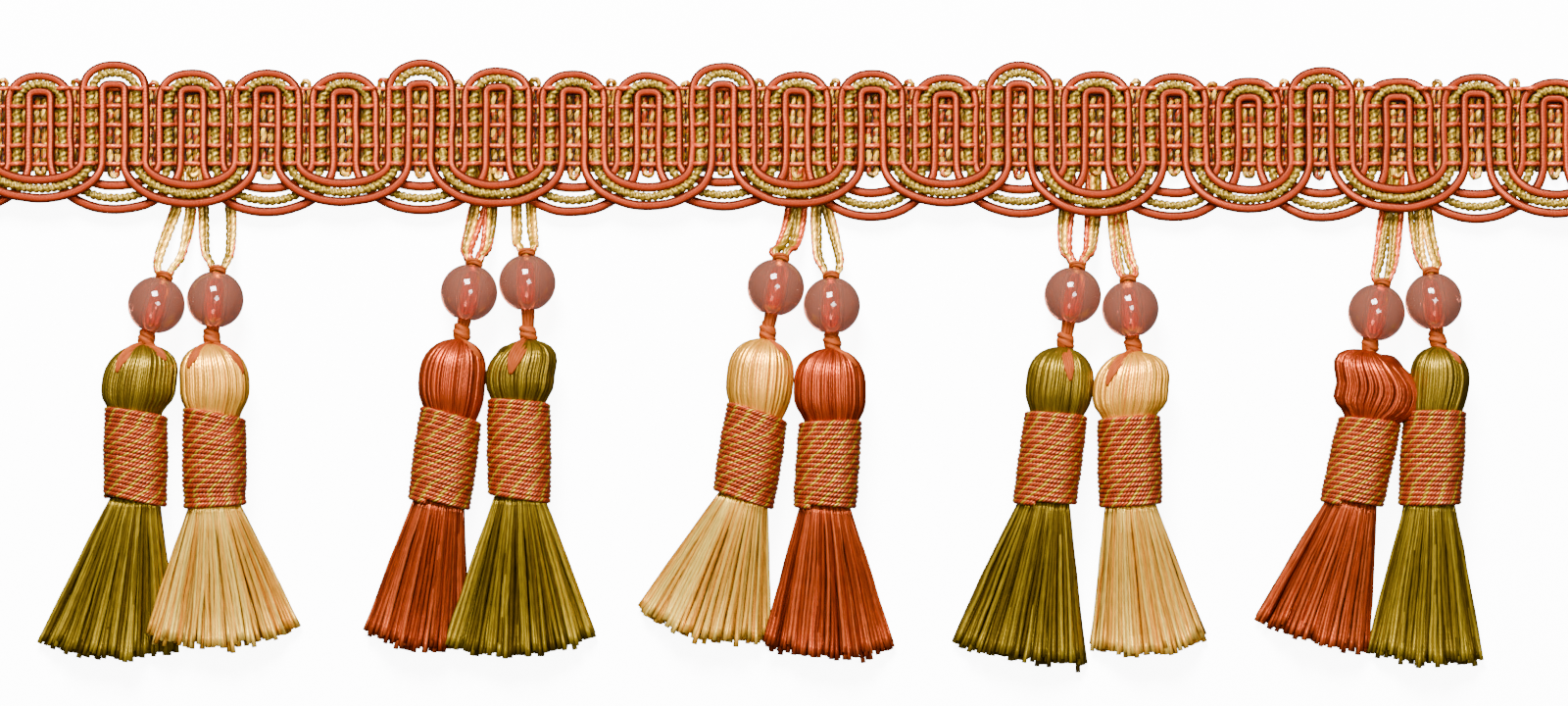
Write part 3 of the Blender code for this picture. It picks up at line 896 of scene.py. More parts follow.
@dataclass
class Heading:
    """The looped heading: ground cloth, yarn columns, binding threads and six cords.

    Args:
        half_pitch: the distance from one loop to the next.
        level_1: the height of a cord's centre line that lies on the ground.
        level_2: the height of the front scallops' centre lines.
        gimp_radius: the radius of a rust cord.
        olive_radius: the radius of an olive cord.
        top_edge: the upper edge of the ground cloth.
        bottom_edge: its lower edge.
        cloth_thickness: how thick it is.
        binding_rows: the heights at which the binding threads run.
        rise_start: where the front cords begin to rise toward their scallops.
        rise_length: over what distance they rise.
        rng: the source of chance.
    """

    half_pitch: float = 13.05
    level_1: float = 2.0
    level_2: float = 3.35
    gimp_radius: float = 0.68
    olive_radius: float = 0.84
    top_edge: float = 7.1
    bottom_edge: float = -7.7
    cloth_thickness: float = 0.35
    binding_rows: tuple[float, ...] = (6.6, 3.5, 0.3, -3.3, -6.4)
    rise_start: float = -2.6
    rise_length: float = 3.6
    rng: np.random.Generator = field(default_factory=lambda: np.random.default_rng(21))

    @property
    def half_length(self) -> float:
        """Return half the length of the trim."""
        return len(LOOPS) * self.half_pitch / 2

    def loop_x(self, index: int) -> float:
        """Return the middle of a loop, counted from the left end."""
        shift = LOOPS[index].shift if 0 <= index < len(LOOPS) else 0.0
        return (index - (len(LOOPS) - 1) / 2) * self.half_pitch + shift

    @staticmethod
    def loop_row(index: int) -> Loop:
        """Return the row of a loop, or the end row for one past the cut."""
        return LOOPS[min(max(index, 0), len(LOOPS) - 1)]

    def leg_x(self, index: int, side: int, leg: float) -> float:
        """Return the x of a leg to the left (-1) or right (+1) of a loop.

        Args:
            index: the loop, counted from the left end.
            side: -1 for its left leg or +1 for its right one.
            leg: how far the leg stands from the middle at the even pitch.

        Returns:
            The leg's x, in millimetres.
        """
        middle = self.loop_x(index)
        room = abs(self.loop_x(index + side) - middle)
        return middle + side * leg * room / self.half_pitch

    def peak(self, index: int, lay: Lay) -> float:
        """Return the height of a cord's centre line at the top of a loop.

        Args:
            index: the loop, counted from the left end.
            lay: which of the three cords it is.

        Returns:
            The height, in millimetres.
        """
        outer = self.loop_row(index).top - self.gimp_radius
        if lay is OUTER:
            return outer
        if lay is OLIVE:
            return outer - 1.35
        return min(4.1 + 0.3 * outer, outer - 2.7)

    @staticmethod
    def arch(
        left: float, right: float, base: float, peak: float, fullness: float
    ) -> list[tuple[float, float]]:
        """Return points on a rounded arch between two legs.

        Args:
            left: the x of its left foot.
            right: the x of its right foot.
            base: the y of both feet.
            peak: the y of its top, which may lie below the feet.
            fullness: how square it is, from 2 for an ellipse.

        Returns:
            The points, from left to right, without the feet.
        """
        points = []
        for turn in np.linspace(0.0, math.pi, 27)[1:-1]:
            across = math.copysign(abs(math.cos(turn)) ** (2 / fullness), -math.cos(turn))
            up = abs(math.sin(turn)) ** (2 / fullness)
            x = (left + right) / 2 + (right - left) / 2 * across
            points.append((x, base + (peak - base) * up))
        return points

    def front_lift(self, y: np.ndarray | float) -> np.ndarray | float:
        """Return how far a front cord has risen at a height, from 0 to 1."""
        return smooth_step((self.rise_start - y) / self.rise_length)

    def route(self, lay: Lay, front: bool) -> Path:
        """Return the centre line of one cord along the whole trim.

        Args:
            lay: which of the three cords it is.
            front: whether it belongs to the front serpentine.

        Returns:
            The path, cut at both ends.
        """
        flat = []
        start = -6.1
        for index in range(-1, len(LOOPS) + 1):
            if (index % 2 == 0) == front:
                left = self.leg_x(index, -1, lay.leg)
                right = self.leg_x(index, 1, lay.leg)
                peak = self.peak(index, lay)
                base = peak - lay.rise
                for y in (-3.0, 0.0, 2.5):
                    flat.append((left, y))
                arch = self.arch(left, right, base, peak, lay.fullness)
                flat.extend([(left, base), *arch, (right, base)])
                for y in (2.5, 0.0, -3.0):
                    flat.append((right, y))
            else:
                left = self.leg_x(index - 1, 1, lay.leg)
                right = self.leg_x(index + 1, -1, lay.leg)
                inset = lay.front_inset if front else lay.back_inset
                low = self.loop_row(index).drop + self.gimp_radius + inset
                scallop = self.arch(left, right, start, low, ELLIPSE)
                flat.extend([(left, start), *scallop, (right, start)])
        xy = np.asarray(flat)
        level = np.full(len(xy), self.level_1)
        if front:
            level += (self.level_2 - self.level_1) * self.front_lift(xy[:, 1])
        path = np.column_stack([xy, level])
        return self._cut(path)

    def _cut(self, path: Path) -> Path:
        """Cut a path square at both ends of the trim.

        Args:
            path: the path, which runs past both ends.

        Returns:
            The part of it inside the trim.
        """
        fine = resample(path, 0.1)
        inside = np.abs(fine[:, 0]) <= self.half_length
        first = int(np.argmax(inside))
        last = len(inside) - int(np.argmax(inside[::-1]))
        return fine[first:last]

    def cords(self) -> None:
        """Lay the six cords."""
        for side, front in (("front", True), ("back", False)):
            for lay in (OUTER, OLIVE, INNER):
                plied = lay is OLIVE
                step = 0.3 if plied else 0.55
                path = resample(self.route(lay, front), step)
                stray = wander(len(path), step, 3.2, 0.05, self.rng)
                stray[:, 2] *= 0.4
                path = path + stray
                path[:, 0] = np.clip(path[:, 0], -self.half_length, self.half_length)
                profile = Profile.TWO_PLY_DEEP if plied else Profile.GIMP
                # The rust cords get painted shade on their flanks; the olive cords get none.
                bundle = Bundle(profile, edge=0.0 if plied else 0.9)
                low = smooth_step((-6.5 - path[:, 1]) / 3.0)
                radius = self.olive_radius if plied else self.gimp_radius * (1.0 + 0.14 * low)
                bundle.add(path, radius, 0.5, pitch=2.0 if plied else 0.0)
                finish = OLIVE_CORD if plied else RUST_GIMP
                name = f"{side}_{lay.name}_cord"
                dress(f"finished_{name}", bundle.mesh(name), finish, name)

    def cloth(self) -> None:
        """Make the strip of ground cloth that carries the heading."""
        mesh = bpy.data.meshes.new("shade_dark_ground_cloth")
        body = bmesh.new()
        bmesh.ops.create_grid(body, x_segments=264, y_segments=6, size=1.0)
        length = self.half_length - 0.15
        middle = (self.top_edge + self.bottom_edge) / 2
        half_width = (self.top_edge - self.bottom_edge) / 2
        for vertex in body.verts:
            x = vertex.co.x * length
            sway = 0.12 * math.sin(x * 0.9) * abs(vertex.co.y)
            y = middle + vertex.co.y * half_width + sway
            vertex.co = Vector((x, y, self.cloth_thickness)) * MM
        raised = bmesh.ops.extrude_face_region(body, geom=list(body.faces))
        for part in raised["geom"]:
            if isinstance(part, bmesh.types.BMVert):
                part.co.z = 0.0
        bmesh.ops.recalc_face_normals(body, faces=body.faces)
        body.to_mesh(mesh)
        body.free()
        piece = dress("shade_dark_ground_cloth", mesh, SHADE_DARK_GROUND_CLOTH, "ground_band")

    def column_radius(self, y: np.ndarray, radius: float) -> np.ndarray:
        """Return a column's radius, pinched where the binding threads cross it."""
        near = np.min(np.abs(y[:, None] - np.asarray(self.binding_rows)), axis=1)
        return radius * (0.74 + 0.3 * smooth_step(near / 1.1))

    @staticmethod
    def hairpin(
        middle: float, half: list[Place], tip: Place | None, level: float
    ) -> list[Place]:
        """Return a route that runs up one side of a middle line and back down the other.

        Args:
            middle: the x of the middle line.
            half: distance from the middle line, y and rise of the points of one side.
            tip: the point between both sides, if there is one.
            level: the height that the rises start from.

        Returns:
            The points, from the left foot to the right one.
        """
        left = [(middle - away, y, level + rise) for away, y, rise in half]
        right = [(middle + away, y, level + rise) for away, y, rise in reversed(half)]
        return left + ([tip] if tip else []) + right

    def columns(self) -> None:
        """Lay the columns of mixed yarn, with picots above and loop ends below."""
        bundle = Bundle(Profile.TWO_PLY)
        level = self.cloth_thickness + 0.52
        for index in range(len(LOOPS)):
            middle = self.loop_x(index)
            room = self.loop_x(index + 1) - middle if index + 1 < len(LOOPS) else self.half_pitch
            scale = room / self.half_pitch
            low = self.bottom_edge - self.rng.uniform(0.4, 1.2)
            high = min(self.peak(index, INNER) - 0.9, self.top_edge)
            stem = self.bottom_edge + 0.4
            half = [
                (0.62, high, 0.0), (0.62, 0.0, 0.0), (0.62, stem, 0.0), (0.42, low + 0.25, 0.1),
            ]
            pair = self.hairpin(middle, half, (middle, low, level + 0.15), level)
            routes = [(pair, 0.6)]
            for side in (-1, 1):
                x = middle + side * 2.98 * scale
                top = min(self.peak(index, OLIVE) - 2.0, self.top_edge)
                single = [(x, self.bottom_edge, level), (x, 0.0, level), (x, top, level)]
                routes.append((single, 0.5))
            if index + 1 < len(LOOPS):
                between = (self.loop_x(index) + self.loop_x(index + 1)) / 2
                crest = self.top_edge + self.rng.uniform(0.5, 1.2)
                lean = self.rng.uniform(-0.2, 0.2)
                foot = self.bottom_edge - 0.1
                half = [(0.55, foot, 0.0), (0.55, 0.0, 0.0), (0.55, self.top_edge - 0.6, 0.0)]
                picot = self.hairpin(between, half, None, level)
                tip = [
                    (between + step + lean, crest + fall, level + lift)
                    for step, fall, lift in ((-0.6, -0.5, 0.3), (0.0, 0.0, 0.5), (0.6, -0.5, 0.3))
                ]
                picot[len(half):len(half)] = tip
                routes.append((picot, 0.52))
            for points, radius in routes:
                path = smooth_route(points, 0.4)
                path = path + wander(len(path), 0.4, 2.5, 0.05, self.rng)
                path[:, 0] = np.clip(path[:, 0], -self.half_length + 0.3, self.half_length - 0.3)
                tone = self.rng.uniform(0.0, 1.0)
                width = self.column_radius(path[:, 1], radius)
                pitch = self.rng.uniform(2.6, 3.6)
                bundle.add(path, width, tone, pitch=pitch, phase=self.rng.uniform(0, 6))
        dress("ground_columns", bundle.mesh("ground_columns"), GROUND_YARN)

    def binding(self) -> None:
        """Run the binding threads over the olive cords and under the rust ones."""
        bundle = Bundle(Profile.ROUND_5)
        rest = self.cloth_thickness + 1.2
        for y in self.binding_rows:
            stations = [(-self.half_length + 0.2, rest)]
            for index in range(len(LOOPS)):
                front = index % 2 == 0
                for side in (-1, 1):
                    olive = self.leg_x(index, side, OLIVE.leg)
                    lift = self.front_lift(y) if front else 0.0
                    centre = self.level_1 + (self.level_2 - self.level_1) * lift
                    crest = centre + self.olive_radius + 0.2
                    under = self.level_1 - self.gimp_radius - 0.3
                    marks = [
                        (self.leg_x(index, side, INNER.leg), under),
                        (olive - side * 1.05, rest - 0.1),
                        (olive - side * 0.6, crest - 0.35),
                        (olive - side * 0.1, crest),
                        (olive + side * 0.5, crest - 0.08),
                        (olive + side * 0.95, crest - 0.7),
                        (self.leg_x(index, side, OUTER.leg), under),
                    ]
                    stations.extend(sorted(marks))
                stations.append((self.loop_x(index), rest))
            stations.append((self.half_length - 0.2, rest))
            stations.sort()
            points = [(x, y + self.rng.normal(0, 0.05), z) for x, z in stations]
            bundle.add(smooth_route(points, 0.5), 0.42, self.rng.uniform(0, 1))
        dress("binding_threads", bundle.mesh("binding_threads"), BINDING)

    def build(self) -> None:
        """Make the whole heading."""
        self.cloth()
        self.columns()
        self.binding()
        self.cords()


@dataclass(frozen=True)
class TieLeg:
    """One end of the tie thread on the head.

    Args:
        across: how far across the tassel it ends.
        along: how far along the tassel it ends.
        width: half its greatest width.
        bow: how far it bows outward on its way.
    """

    across: float
    along: float
    width: float = 0.75
    bow: float = 0.0


@dataclass(frozen=True)
class SkirtLayer:
    """One layer of a skirt's yarns.

    Args:
        level: where it lies, from 0 on the floor to 1 on top.
        count: how many yarns it has.
        step: the distance between a yarn's points, in millimetres.
        tone: where its yarns lie in the palette; the lower tones of the sunk layers are painted
            shade.
        profile: the cross-section of its yarns.
    """

    level: float
    count: int
    step: float
    tone: float
    profile: Profile


# The three middle layers take darker tones than the top and floor layers: painted shade between the
# upper yarns.
SKIRT_LAYERS = (
    SkirtLayer(level=1.0, count=36, step=1.6, tone=0.62, profile=Profile.ROUND_5),
    SkirtLayer(level=0.82, count=34, step=2.0, tone=0.36, profile=Profile.ROUND_5),
    SkirtLayer(level=0.55, count=26, step=3.0, tone=0.25, profile=Profile.ROUND_4),
    SkirtLayer(level=0.28, count=24, step=3.5, tone=0.25, profile=Profile.ROUND_4),
    SkirtLayer(level=0.0, count=28, step=3.0, tone=0.5, profile=Profile.ROUND_4),
)


@dataclass
class BeadedTassel:
    """One tassel with its collar, knot, bead and hanger.

    Args:
        name: its short name, by pair and side.
        finish: the name of the tassel's finish.
        bead_x: the bead's centre across the trim.
        bead_y: the bead's centre up the trim.
        bead_turn: the bore's lean from straight down, in degrees.
        neck_x: the top of the collar across the trim.
        neck_y: the same up the trim.
        lean: the tassel's lean from straight down, in degrees.
        collar: the collar's length.
        head_width: the head's width.
        head_shift: how far the head stands to the right of the collar's line.
        left: how far left the skirt reaches, across the tassel.
        left_end: how far along the tassel its left corner lies.
        middle_end: how far along its lowest point lies.
        right: how far right it reaches.
        right_end: how far along its right corner lies.
        under: the share of its width that lies under the skirt to its right.
        over: the share of its width that lies over the skirt to its left.
        root_left: the left edge of the hanger at the heading.
        root_right: the right edge.
        bow_left: how far its left yarns bow out.
        bow_right: how far its right yarns bow out.
        yarns: how many loops of yarn the hanger has.
        knot: how far below the bead's centre the knot's middle lies.
        top_slope: how far the collar's top turn drops from left to right.
        bottom_slope: how far its bottom turn drops.
        legs: the ends of the tie thread on the head.
        seed: the seed of its chance.
        shoulder: the share of the head's length over which it reaches its full width.
        head_count: how many threads cover the head.
        bead_radius: the bead's radius.
        bore_radius: the radius of its bore.
        axis: the height of the head's and collar's middle line.
        collar_radius: the radius of the collar's cord rings.
        cord_radius: half the room that one turn of the cord takes.
        neck_radius: the neck's radius.
        head_high: half the greatest height of the head.
        dome: how square the crown is, from 2 for an ellipse.
        cover: how deep the core lies under the head's threads and the collar.
        rim_ease: how far the bead's holes are eased into the bore.
    """

    name: str
    finish: str
    bead_x: float
    bead_y: float
    bead_turn: float
    neck_x: float
    neck_y: float
    lean: float
    collar: float
    head_width: float
    head_shift: float
    left: float
    left_end: float
    middle_end: float
    right: float
    right_end: float
    under: float
    over: float
    root_left: float
    root_right: float
    bow_left: float
    bow_right: float
    yarns: int
    knot: float
    top_slope: float
    bottom_slope: float
    legs: tuple[TieLeg, ...]
    seed: int
    shoulder: float = 0.52
    head_count: int = 96
    bead_radius: float = 4.9
    bore_radius: float = 1.45
    axis: float = 5.6
    collar_radius: float = 5.15
    cord_radius: float = 0.44
    neck_radius: float = 4.3
    head_high: float = 5.45
    dome: float = 2.3
    cover: float = 0.42
    rim_ease: float = 0.12

    def __post_init__(self) -> None:
        """Start this tassel's own source of chance."""
        self.rng = np.random.default_rng(self.seed)

    def at(
        self,
        across: np.ndarray | float,
        along: np.ndarray | float,
        height: np.ndarray | float,
    ) -> Path:
        """Turn distances across and along the tassel into places in the frame.

        Args:
            across: how far right of the tassel's middle.
            along: how far down from the top of the neck.
            height: how high above the floor.

        Returns:
            The places, one row each.
        """
        turn = math.radians(self.lean)
        across, along, height = np.broadcast_arrays(across, along, height)
        x = self.neck_x + across * math.cos(turn) + along * math.sin(turn)
        y = self.neck_y + across * math.sin(turn) - along * math.cos(turn)
        return np.stack([x, y, height], axis=-1).astype(float)

    def down_bead(
        self, across: float, along: float, height: float = 0.0
    ) -> Place:
        """Turn distances from the bead's centre into a place in the frame.

        Args:
            across: how far right of the thread's line.
            along: how far down along it.
            height: how far above the bead's centre.

        Returns:
            The place.
        """
        turn = math.radians(self.bead_turn)
        return (
            self.bead_x + across * math.cos(turn) + along * math.sin(turn),
            self.bead_y + across * math.sin(turn) - along * math.cos(turn),
            self.bead_radius + height,
        )

    def crown(self) -> tuple[float, float]:
        """Return how far across and along the tassel its crown lies.

        Returns:
            The two distances, in millimetres.
        """
        x, y, _ = self.down_bead(0.0, self.knot + 1.35)
        turn = math.radians(self.lean)
        dx = x - self.neck_x
        dy = y - self.neck_y
        across = dx * math.cos(turn) + dy * math.sin(turn)
        along = dx * math.sin(turn) - dy * math.cos(turn)
        return across, along

    def head_table(self) -> np.ndarray:
        """Return along, half width, half height and middle for rings from crown to neck.

        Returns:
            One row for each ring.
        """
        crown_across, crown_along = self.crown()
        half = self.head_width / 2
        flat = min(self.head_high / half, 1.0)
        rows = []
        for share in (0.0, 0.025, 0.07, 0.14, 0.24, 0.38, 0.55, 0.8):
            fall = max(1.0 - share / self.shoulder, 0.0)
            width = max(half * (1.0 - fall**self.dome) ** (1 / self.dome), 0.6)
            if share > self.shoulder:
                width *= 1.0 - 0.12 * (share - self.shoulder)
            ease = smooth_step(share / 0.6)
            middle = crown_across * (1 - ease) + self.head_shift * math.sin(math.pi * share)
            rows.append((crown_along * (1 - share), width, width * flat, middle))
        rows.append((0.1, self.neck_radius + 0.25, self.neck_radius + 0.25, 0.0))
        rows.append((1.4, self.neck_radius - 0.2, self.neck_radius - 0.2, 0.0))
        return smooth_table(np.asarray(rows), 30)

    def head_height(self, across: float, along: float) -> float:
        """Return how high the head's surface lies above the floor at one place.

        Args:
            across: how far right of the tassel's middle.
            along: how far down from the top of the neck.

        Returns:
            The height, in millimetres.
        """
        table = self.head_table()
        half, high, middle = (
            np.interp(along, table[:, 0], table[:, column]) for column in (1, 2, 3)
        )
        share = min(abs(across - middle) / max(half, 0.1), 1.0)
        return self.axis + high * math.sqrt(1.0 - share**2)

    def head_threads(self) -> Bundle:
        """Lay the threads of the head from the crown down into the collar.

        Returns:
            The bundle of threads.
        """
        table = self.head_table()
        share = np.linspace(0, 1, len(table))
        bundle = Bundle(Profile.ROUND_4)
        for index in range(self.head_count):
            turn = math.tau * (index + self.rng.uniform(-0.2, 0.2)) / self.head_count
            radius = self.rng.uniform(0.38, 0.46)
            stretch = 1.0 + self.rng.uniform(-0.03, 0.02)
            slip = self.rng.uniform(-0.03, 0.03) + 0.1 * math.sin(2 * turn + self.seed)
            angle = turn + slip * np.sin(math.pi * share)
            across = table[:, 3] + (table[:, 1] * stretch - radius * 0.6) * np.cos(angle)
            height = self.axis + (table[:, 2] * stretch - radius * 0.6) * np.sin(angle)
            path = resample(self.at(across, table[:, 0], height), 1.2)
            path[:, 2] = np.maximum(path[:, 2], radius * 0.9)
            bundle.add(path, radius, self.rng.uniform(0.0, 0.45), phase=self.rng.uniform(0, 6))
        return bundle

    def head_core(self) -> Bundle:
        """Make the filling under the head's threads and inside the collar.

        Returns:
            A bundle of one thick strand.
        """
        table = self.head_table()
        bundle = Bundle(Profile.ROUND_10)
        narrow = np.minimum(table[:, 1], table[:, 2]) - self.cover
        path = self.at(table[:, 3], table[:, 0], np.full(len(table), self.axis))
        inside = self.collar_radius - self.cover
        steps = (1.9, 2.3, self.collar - 1.6, self.collar - 1.0)
        path = np.vstack([path, self.at(0.0, np.asarray(steps), self.axis)])
        radii = np.append(np.maximum(narrow, 0.25), (inside - 0.3, inside, inside, inside - 0.6))
        # The core takes the darkest tone: painted shade in the gaps between the head's threads.
        bundle.add(path, radii, 0.0)
        return bundle

    def collar_cord(self) -> None:
        """Wind the plied cord of the collar."""
        pitch = 2 * self.cord_radius * 0.9
        turns = (self.collar - 2 * self.cord_radius) / pitch
        step = 0.6
        count = int(turns * math.tau * self.collar_radius / step)
        share = np.linspace(0.0, 1.0, count)
        angle = -share * turns * math.tau + self.rng.uniform(3.9, 5.5)
        row = share * turns
        slope = self.top_slope + (self.bottom_slope - self.top_slope) * share
        along = self.cord_radius + row * pitch + 0.5 * slope * np.cos(angle)
        along -= 0.3 * np.sin(angle) * (1 - share)
        along += self.per_turn(row, 0.035)
        swell = 0.16 * np.sin(math.pi * share)
        radius = self.collar_radius - self.cord_radius * 0.35 + swell + self.per_turn(row, 0.05)
        across = radius * np.cos(angle)
        height = self.axis + np.minimum(radius, self.axis - self.cord_radius) * np.sin(angle)
        bundle = Bundle(Profile.ROUND_6)
        bundle.add(self.at(across, along, height), self.cord_radius * 1.2, 0.02)
        name = f"collar_{self.name}"
        dress(f"finished_{name}", bundle.mesh(name), COLLAR_CORD, name)

    def per_turn(self, row: np.ndarray, amount: float) -> np.ndarray:
        """Return an uneven value that changes from one turn of the cord to the next."""
        marks = np.arange(math.ceil(row[-1]) + 2)
        return np.interp(row, marks, self.rng.normal(0, amount, len(marks)))

    def skirt(self) -> list[Bundle]:
        """Lay the cut yarns of the skirt, rounder ones on top and plainer ones beneath.

        Returns:
            One bundle for each layer.
        """
        bundles = []
        for layer in SKIRT_LAYERS:
            # Painted shade darkens the skirt yarns' flanks.
            bundle = Bundle(layer.profile, edge=0.6)
            for index in range(layer.count):
                share = (index + self.rng.uniform(0.2, 0.8)) / layer.count
                path = self.yarn_route(share, layer.level, layer.step)
                tone = float(np.clip(self.rng.normal(layer.tone - 0.04, 0.32), 0, 1))
                width = self.rng.uniform(0.36, 0.46)
                way = np.linspace(0, 1, len(path))
                swell = np.interp(way, (0, 0.35, 0.96, 1), (0.62, 0.86, 1.06, 1.16))
                bundle.add(path, swell * width, tone)
            bundles.append(bundle)
        return bundles

    def yarn_route(self, share: float, level: float, step: float) -> Path:
        """Return one yarn of the skirt.

        Args:
            share: where it lies across the skirt, from 0 at the left to 1 at the right.
            level: its layer, from 0 on the floor to 1 on top.
            step: the distance wanted between points.

        Returns:
            The path.
        """
        root_across = SKIRT_REACH * (2 * share - 1)
        root_height = (2 * level - 1) * math.sqrt(SKIRT_ROOT**2 - root_across**2)
        edge = 1.0 - abs(2 * share - 1) ** 2.6
        thick = 0.35 + 4.3 * edge
        lift = 0.0
        if share < self.over:
            lift = 2.6 * smooth_step((self.over - share) / max(self.over * 0.5, 0.01))
            thick = min(thick, 2.4)
        if share > 1 - self.under:
            thick = min(thick, 1.3)
        end_height = YARN_REST + lift + level * thick
        end_across = self.left + (self.right - self.left) * share + self.rng.normal(0, 0.2)
        end_along = self.end_along(share) + self.rng.normal(-0.1, 0.45) - 0.6 * (1 - level) * edge
        way = np.linspace(0.0, 1.0, 10)
        across = root_across + (end_across - root_across) * way
        across += self.rng.normal(0, 0.16) * np.sin(math.pi * way)
        along = (self.collar - 0.9) + (end_along - self.collar + 0.9) * way
        fall = smooth_step(way**0.8)
        height = (self.axis + root_height) * (1 - fall) + end_height * fall
        height += self.rng.normal(0.1, 0.2) * np.sin(math.pi * way) * level
        height = np.maximum(height, YARN_REST)
        path = smooth_route(self.at(across, along, height), step)
        return path + wander(len(path), step, 5.0, 0.05, self.rng)

    def end_along(self, share: float) -> float:
        """Return how far along the tassel the cut edge lies at a share of its width."""
        corner = self.left_end if share < 0.5 else self.right_end
        return corner + (self.middle_end - corner) * math.sin(math.pi * share) ** 0.8

    def tassel(self) -> None:
        """Make the tassel's head, neck and skirt."""
        name = f"tassel_{self.name}"
        bundles = [self.head_threads(), self.head_core(), *self.skirt()]
        meshes = [bundle.mesh(f"{name}_{index}") for index, bundle in enumerate(bundles)]
        dress(f"finished_{name}", join_meshes(name, meshes), TASSEL_FINISHES[self.finish], name)

    def bead(self) -> None:
        """Turn the clear bead, with its bore and eased rims."""
        profile = []
        start = math.asin(self.bore_radius / self.bead_radius) * 1.16
        for turn in np.linspace(start, math.pi - start, 33):
            profile.append((self.bead_radius * math.sin(turn), self.bead_radius * math.cos(turn)))
        rim = profile[0][1] - self.rim_ease
        profile.extend((self.bore_radius, y) for y in (-rim, 0.0, rim))
        mesh = bpy.data.meshes.new(f"bead_{self.name}")
        body = bmesh.new()
        corners = [body.verts.new((radius * MM, y * MM, 0.0)) for radius, y in profile]
        edges = [body.edges.new(pair) for pair in zip(corners, corners[1:] + corners[:1])]
        bmesh.ops.spin(
            body, geom=corners + edges, cent=(0, 0, 0), axis=(0, 1, 0),
            angle=math.tau, steps=56, use_merge=True,
        )
        bmesh.ops.remove_doubles(body, verts=body.verts, dist=0.005 * MM)
        bmesh.ops.recalc_face_normals(body, faces=body.faces)
        place = Matrix.Translation(Vector((self.bead_x, self.bead_y, self.bead_radius)) * MM)
        body.transform(place @ Matrix.Rotation(math.radians(self.bead_turn), 4, "Z"))
        for face in body.faces:
            face.smooth = True
        body.to_mesh(mesh)
        body.free()
        name = f"bead_{self.name}"
        dress(f"finished_{name}", mesh, BEAD_ROSE, name)

    def tie(self) -> None:
        """Make the tie: loop above the bead, thread in it, knot, and ends round the head."""
        reach = self.bead_radius
        thread = Bundle(Profile.ROUND_6)
        for index in range(9):
            turn = math.tau * index / 9
            across = 0.92 * math.cos(turn)
            height = 0.92 * math.sin(turn)
            stations = (
                (0.8, -reach + 0.1), (1.0, -reach * 0.5), (1.05, reach * 0.5),
                (0.9, reach + 0.2), (0.7, self.knot - 0.6),
            )
            points = [self.down_bead(across * out, along, height * out) for out, along in stations]
            thread.add(smooth_route(points, 1.1), 0.38, self.rng.uniform(0, 1), phase=turn)
        for lay in (-0.22, 0.22):
            saddle = [
                self.down_bead(-1.0, -reach + 0.7, -0.5 + lay),
                self.down_bead(-1.15, -reach - 0.2 - lay, 0.45 + lay),
                self.down_bead(0.0, -reach - 0.65 - lay, 1.0),
                self.down_bead(1.15, -reach - 0.2 - lay, 0.45 - lay),
                self.down_bead(1.0, -reach + 0.7, -0.5 - lay),
            ]
            thread.add(smooth_route(saddle, 0.4), 0.34, 0.6)
        wrap = Bundle(Profile.ROUND_6)
        share = np.linspace(0, 1, 44)
        angle = share * 2.4 * math.tau + self.rng.uniform(0, 6)
        belly = 0.78 + 0.36 * np.sin(math.pi * share)
        start = self.knot - 1.15
        places = [
            self.down_bead(b * math.cos(a), start + 2.2 * s + 0.6 * math.cos(a), b * math.sin(a))
            for a, b, s in zip(angle, belly, share)
        ]
        wrap.add(np.asarray(places), 0.6, 0.5)
        core = Bundle(Profile.ROUND_10)
        knot = [self.down_bead(0, start - 0.4 + d, 0) for d in (0.0, 0.5, 1.3, 2.2, 2.9, 3.3)]
        core.add(np.asarray(knot), np.asarray([0.8, 1.3, 1.52, 1.45, 1.1, 0.6]), 0.4)
        for leg in self.legs:
            path, outward = self.leg_route(leg)
            sideways = np.cross(outward, np.gradient(path, axis=0))
            sideways /= np.linalg.norm(sideways, axis=1)[:, None]
            share = np.linspace(0, 1, len(path))
            taper = np.interp(share, (0, 0.25, 0.65, 0.9, 1), (0.8, 1, 0.9, 0.4, 0.15))
            spread = 1.2 * leg.width * taper
            for offset in (-0.8, -0.4, 0.0, 0.4, 0.8):
                strand = path + sideways * (offset * spread)[:, None]
                strand += outward * 0.08 * (1 - offset**2)
                thread.add(strand, 0.1 + 0.2 * spread, self.rng.uniform(0, 1), phase=offset)
        name = f"tie_{self.name}"
        bundles = (thread, wrap, core)
        meshes = [bundle.mesh(f"{name}_{index}") for index, bundle in enumerate(bundles)]
        dress(f"finished_{name}", join_meshes(name, meshes), TIE_THREAD, name)

    def leg_route(self, leg: TieLeg) -> tuple[Path, Path]:
        """Return the route of one end of the tie thread over the head.

        Args:
            leg: where the end goes.

        Returns:
            The path, and the direction outward from the head at each of its points.
        """
        start_across, start_along = self.crown()
        table = self.head_table()
        points = []
        outward = []
        for share in np.linspace(0.0, 1.0, 18):
            ahead = (1 - leg.bow) * share + leg.bow * math.sin(share * math.pi / 2)
            behind = (1 - leg.bow) * share + leg.bow * (1 - math.cos(share * math.pi / 2))
            across = start_across + (leg.across - start_across) * ahead
            along = start_along + (leg.along - start_along) * behind
            half, middle = (np.interp(along, table[:, 0], table[:, column]) for column in (1, 3))
            reach = min(max((across - middle) / (half + 0.15), -1.0), 1.0)
            across = middle + reach * (half + 0.15)
            height = self.head_height(across, along) + 0.12 - 0.5 * (1 - share) ** 4
            points.append(self.at(across, along, height))
            lean = math.asin(reach)
            outward.append(self.at(math.sin(lean), 0.0, math.cos(lean)) - self.at(0.0, 0.0, 0.0))
        return np.asarray(points), np.asarray(outward)

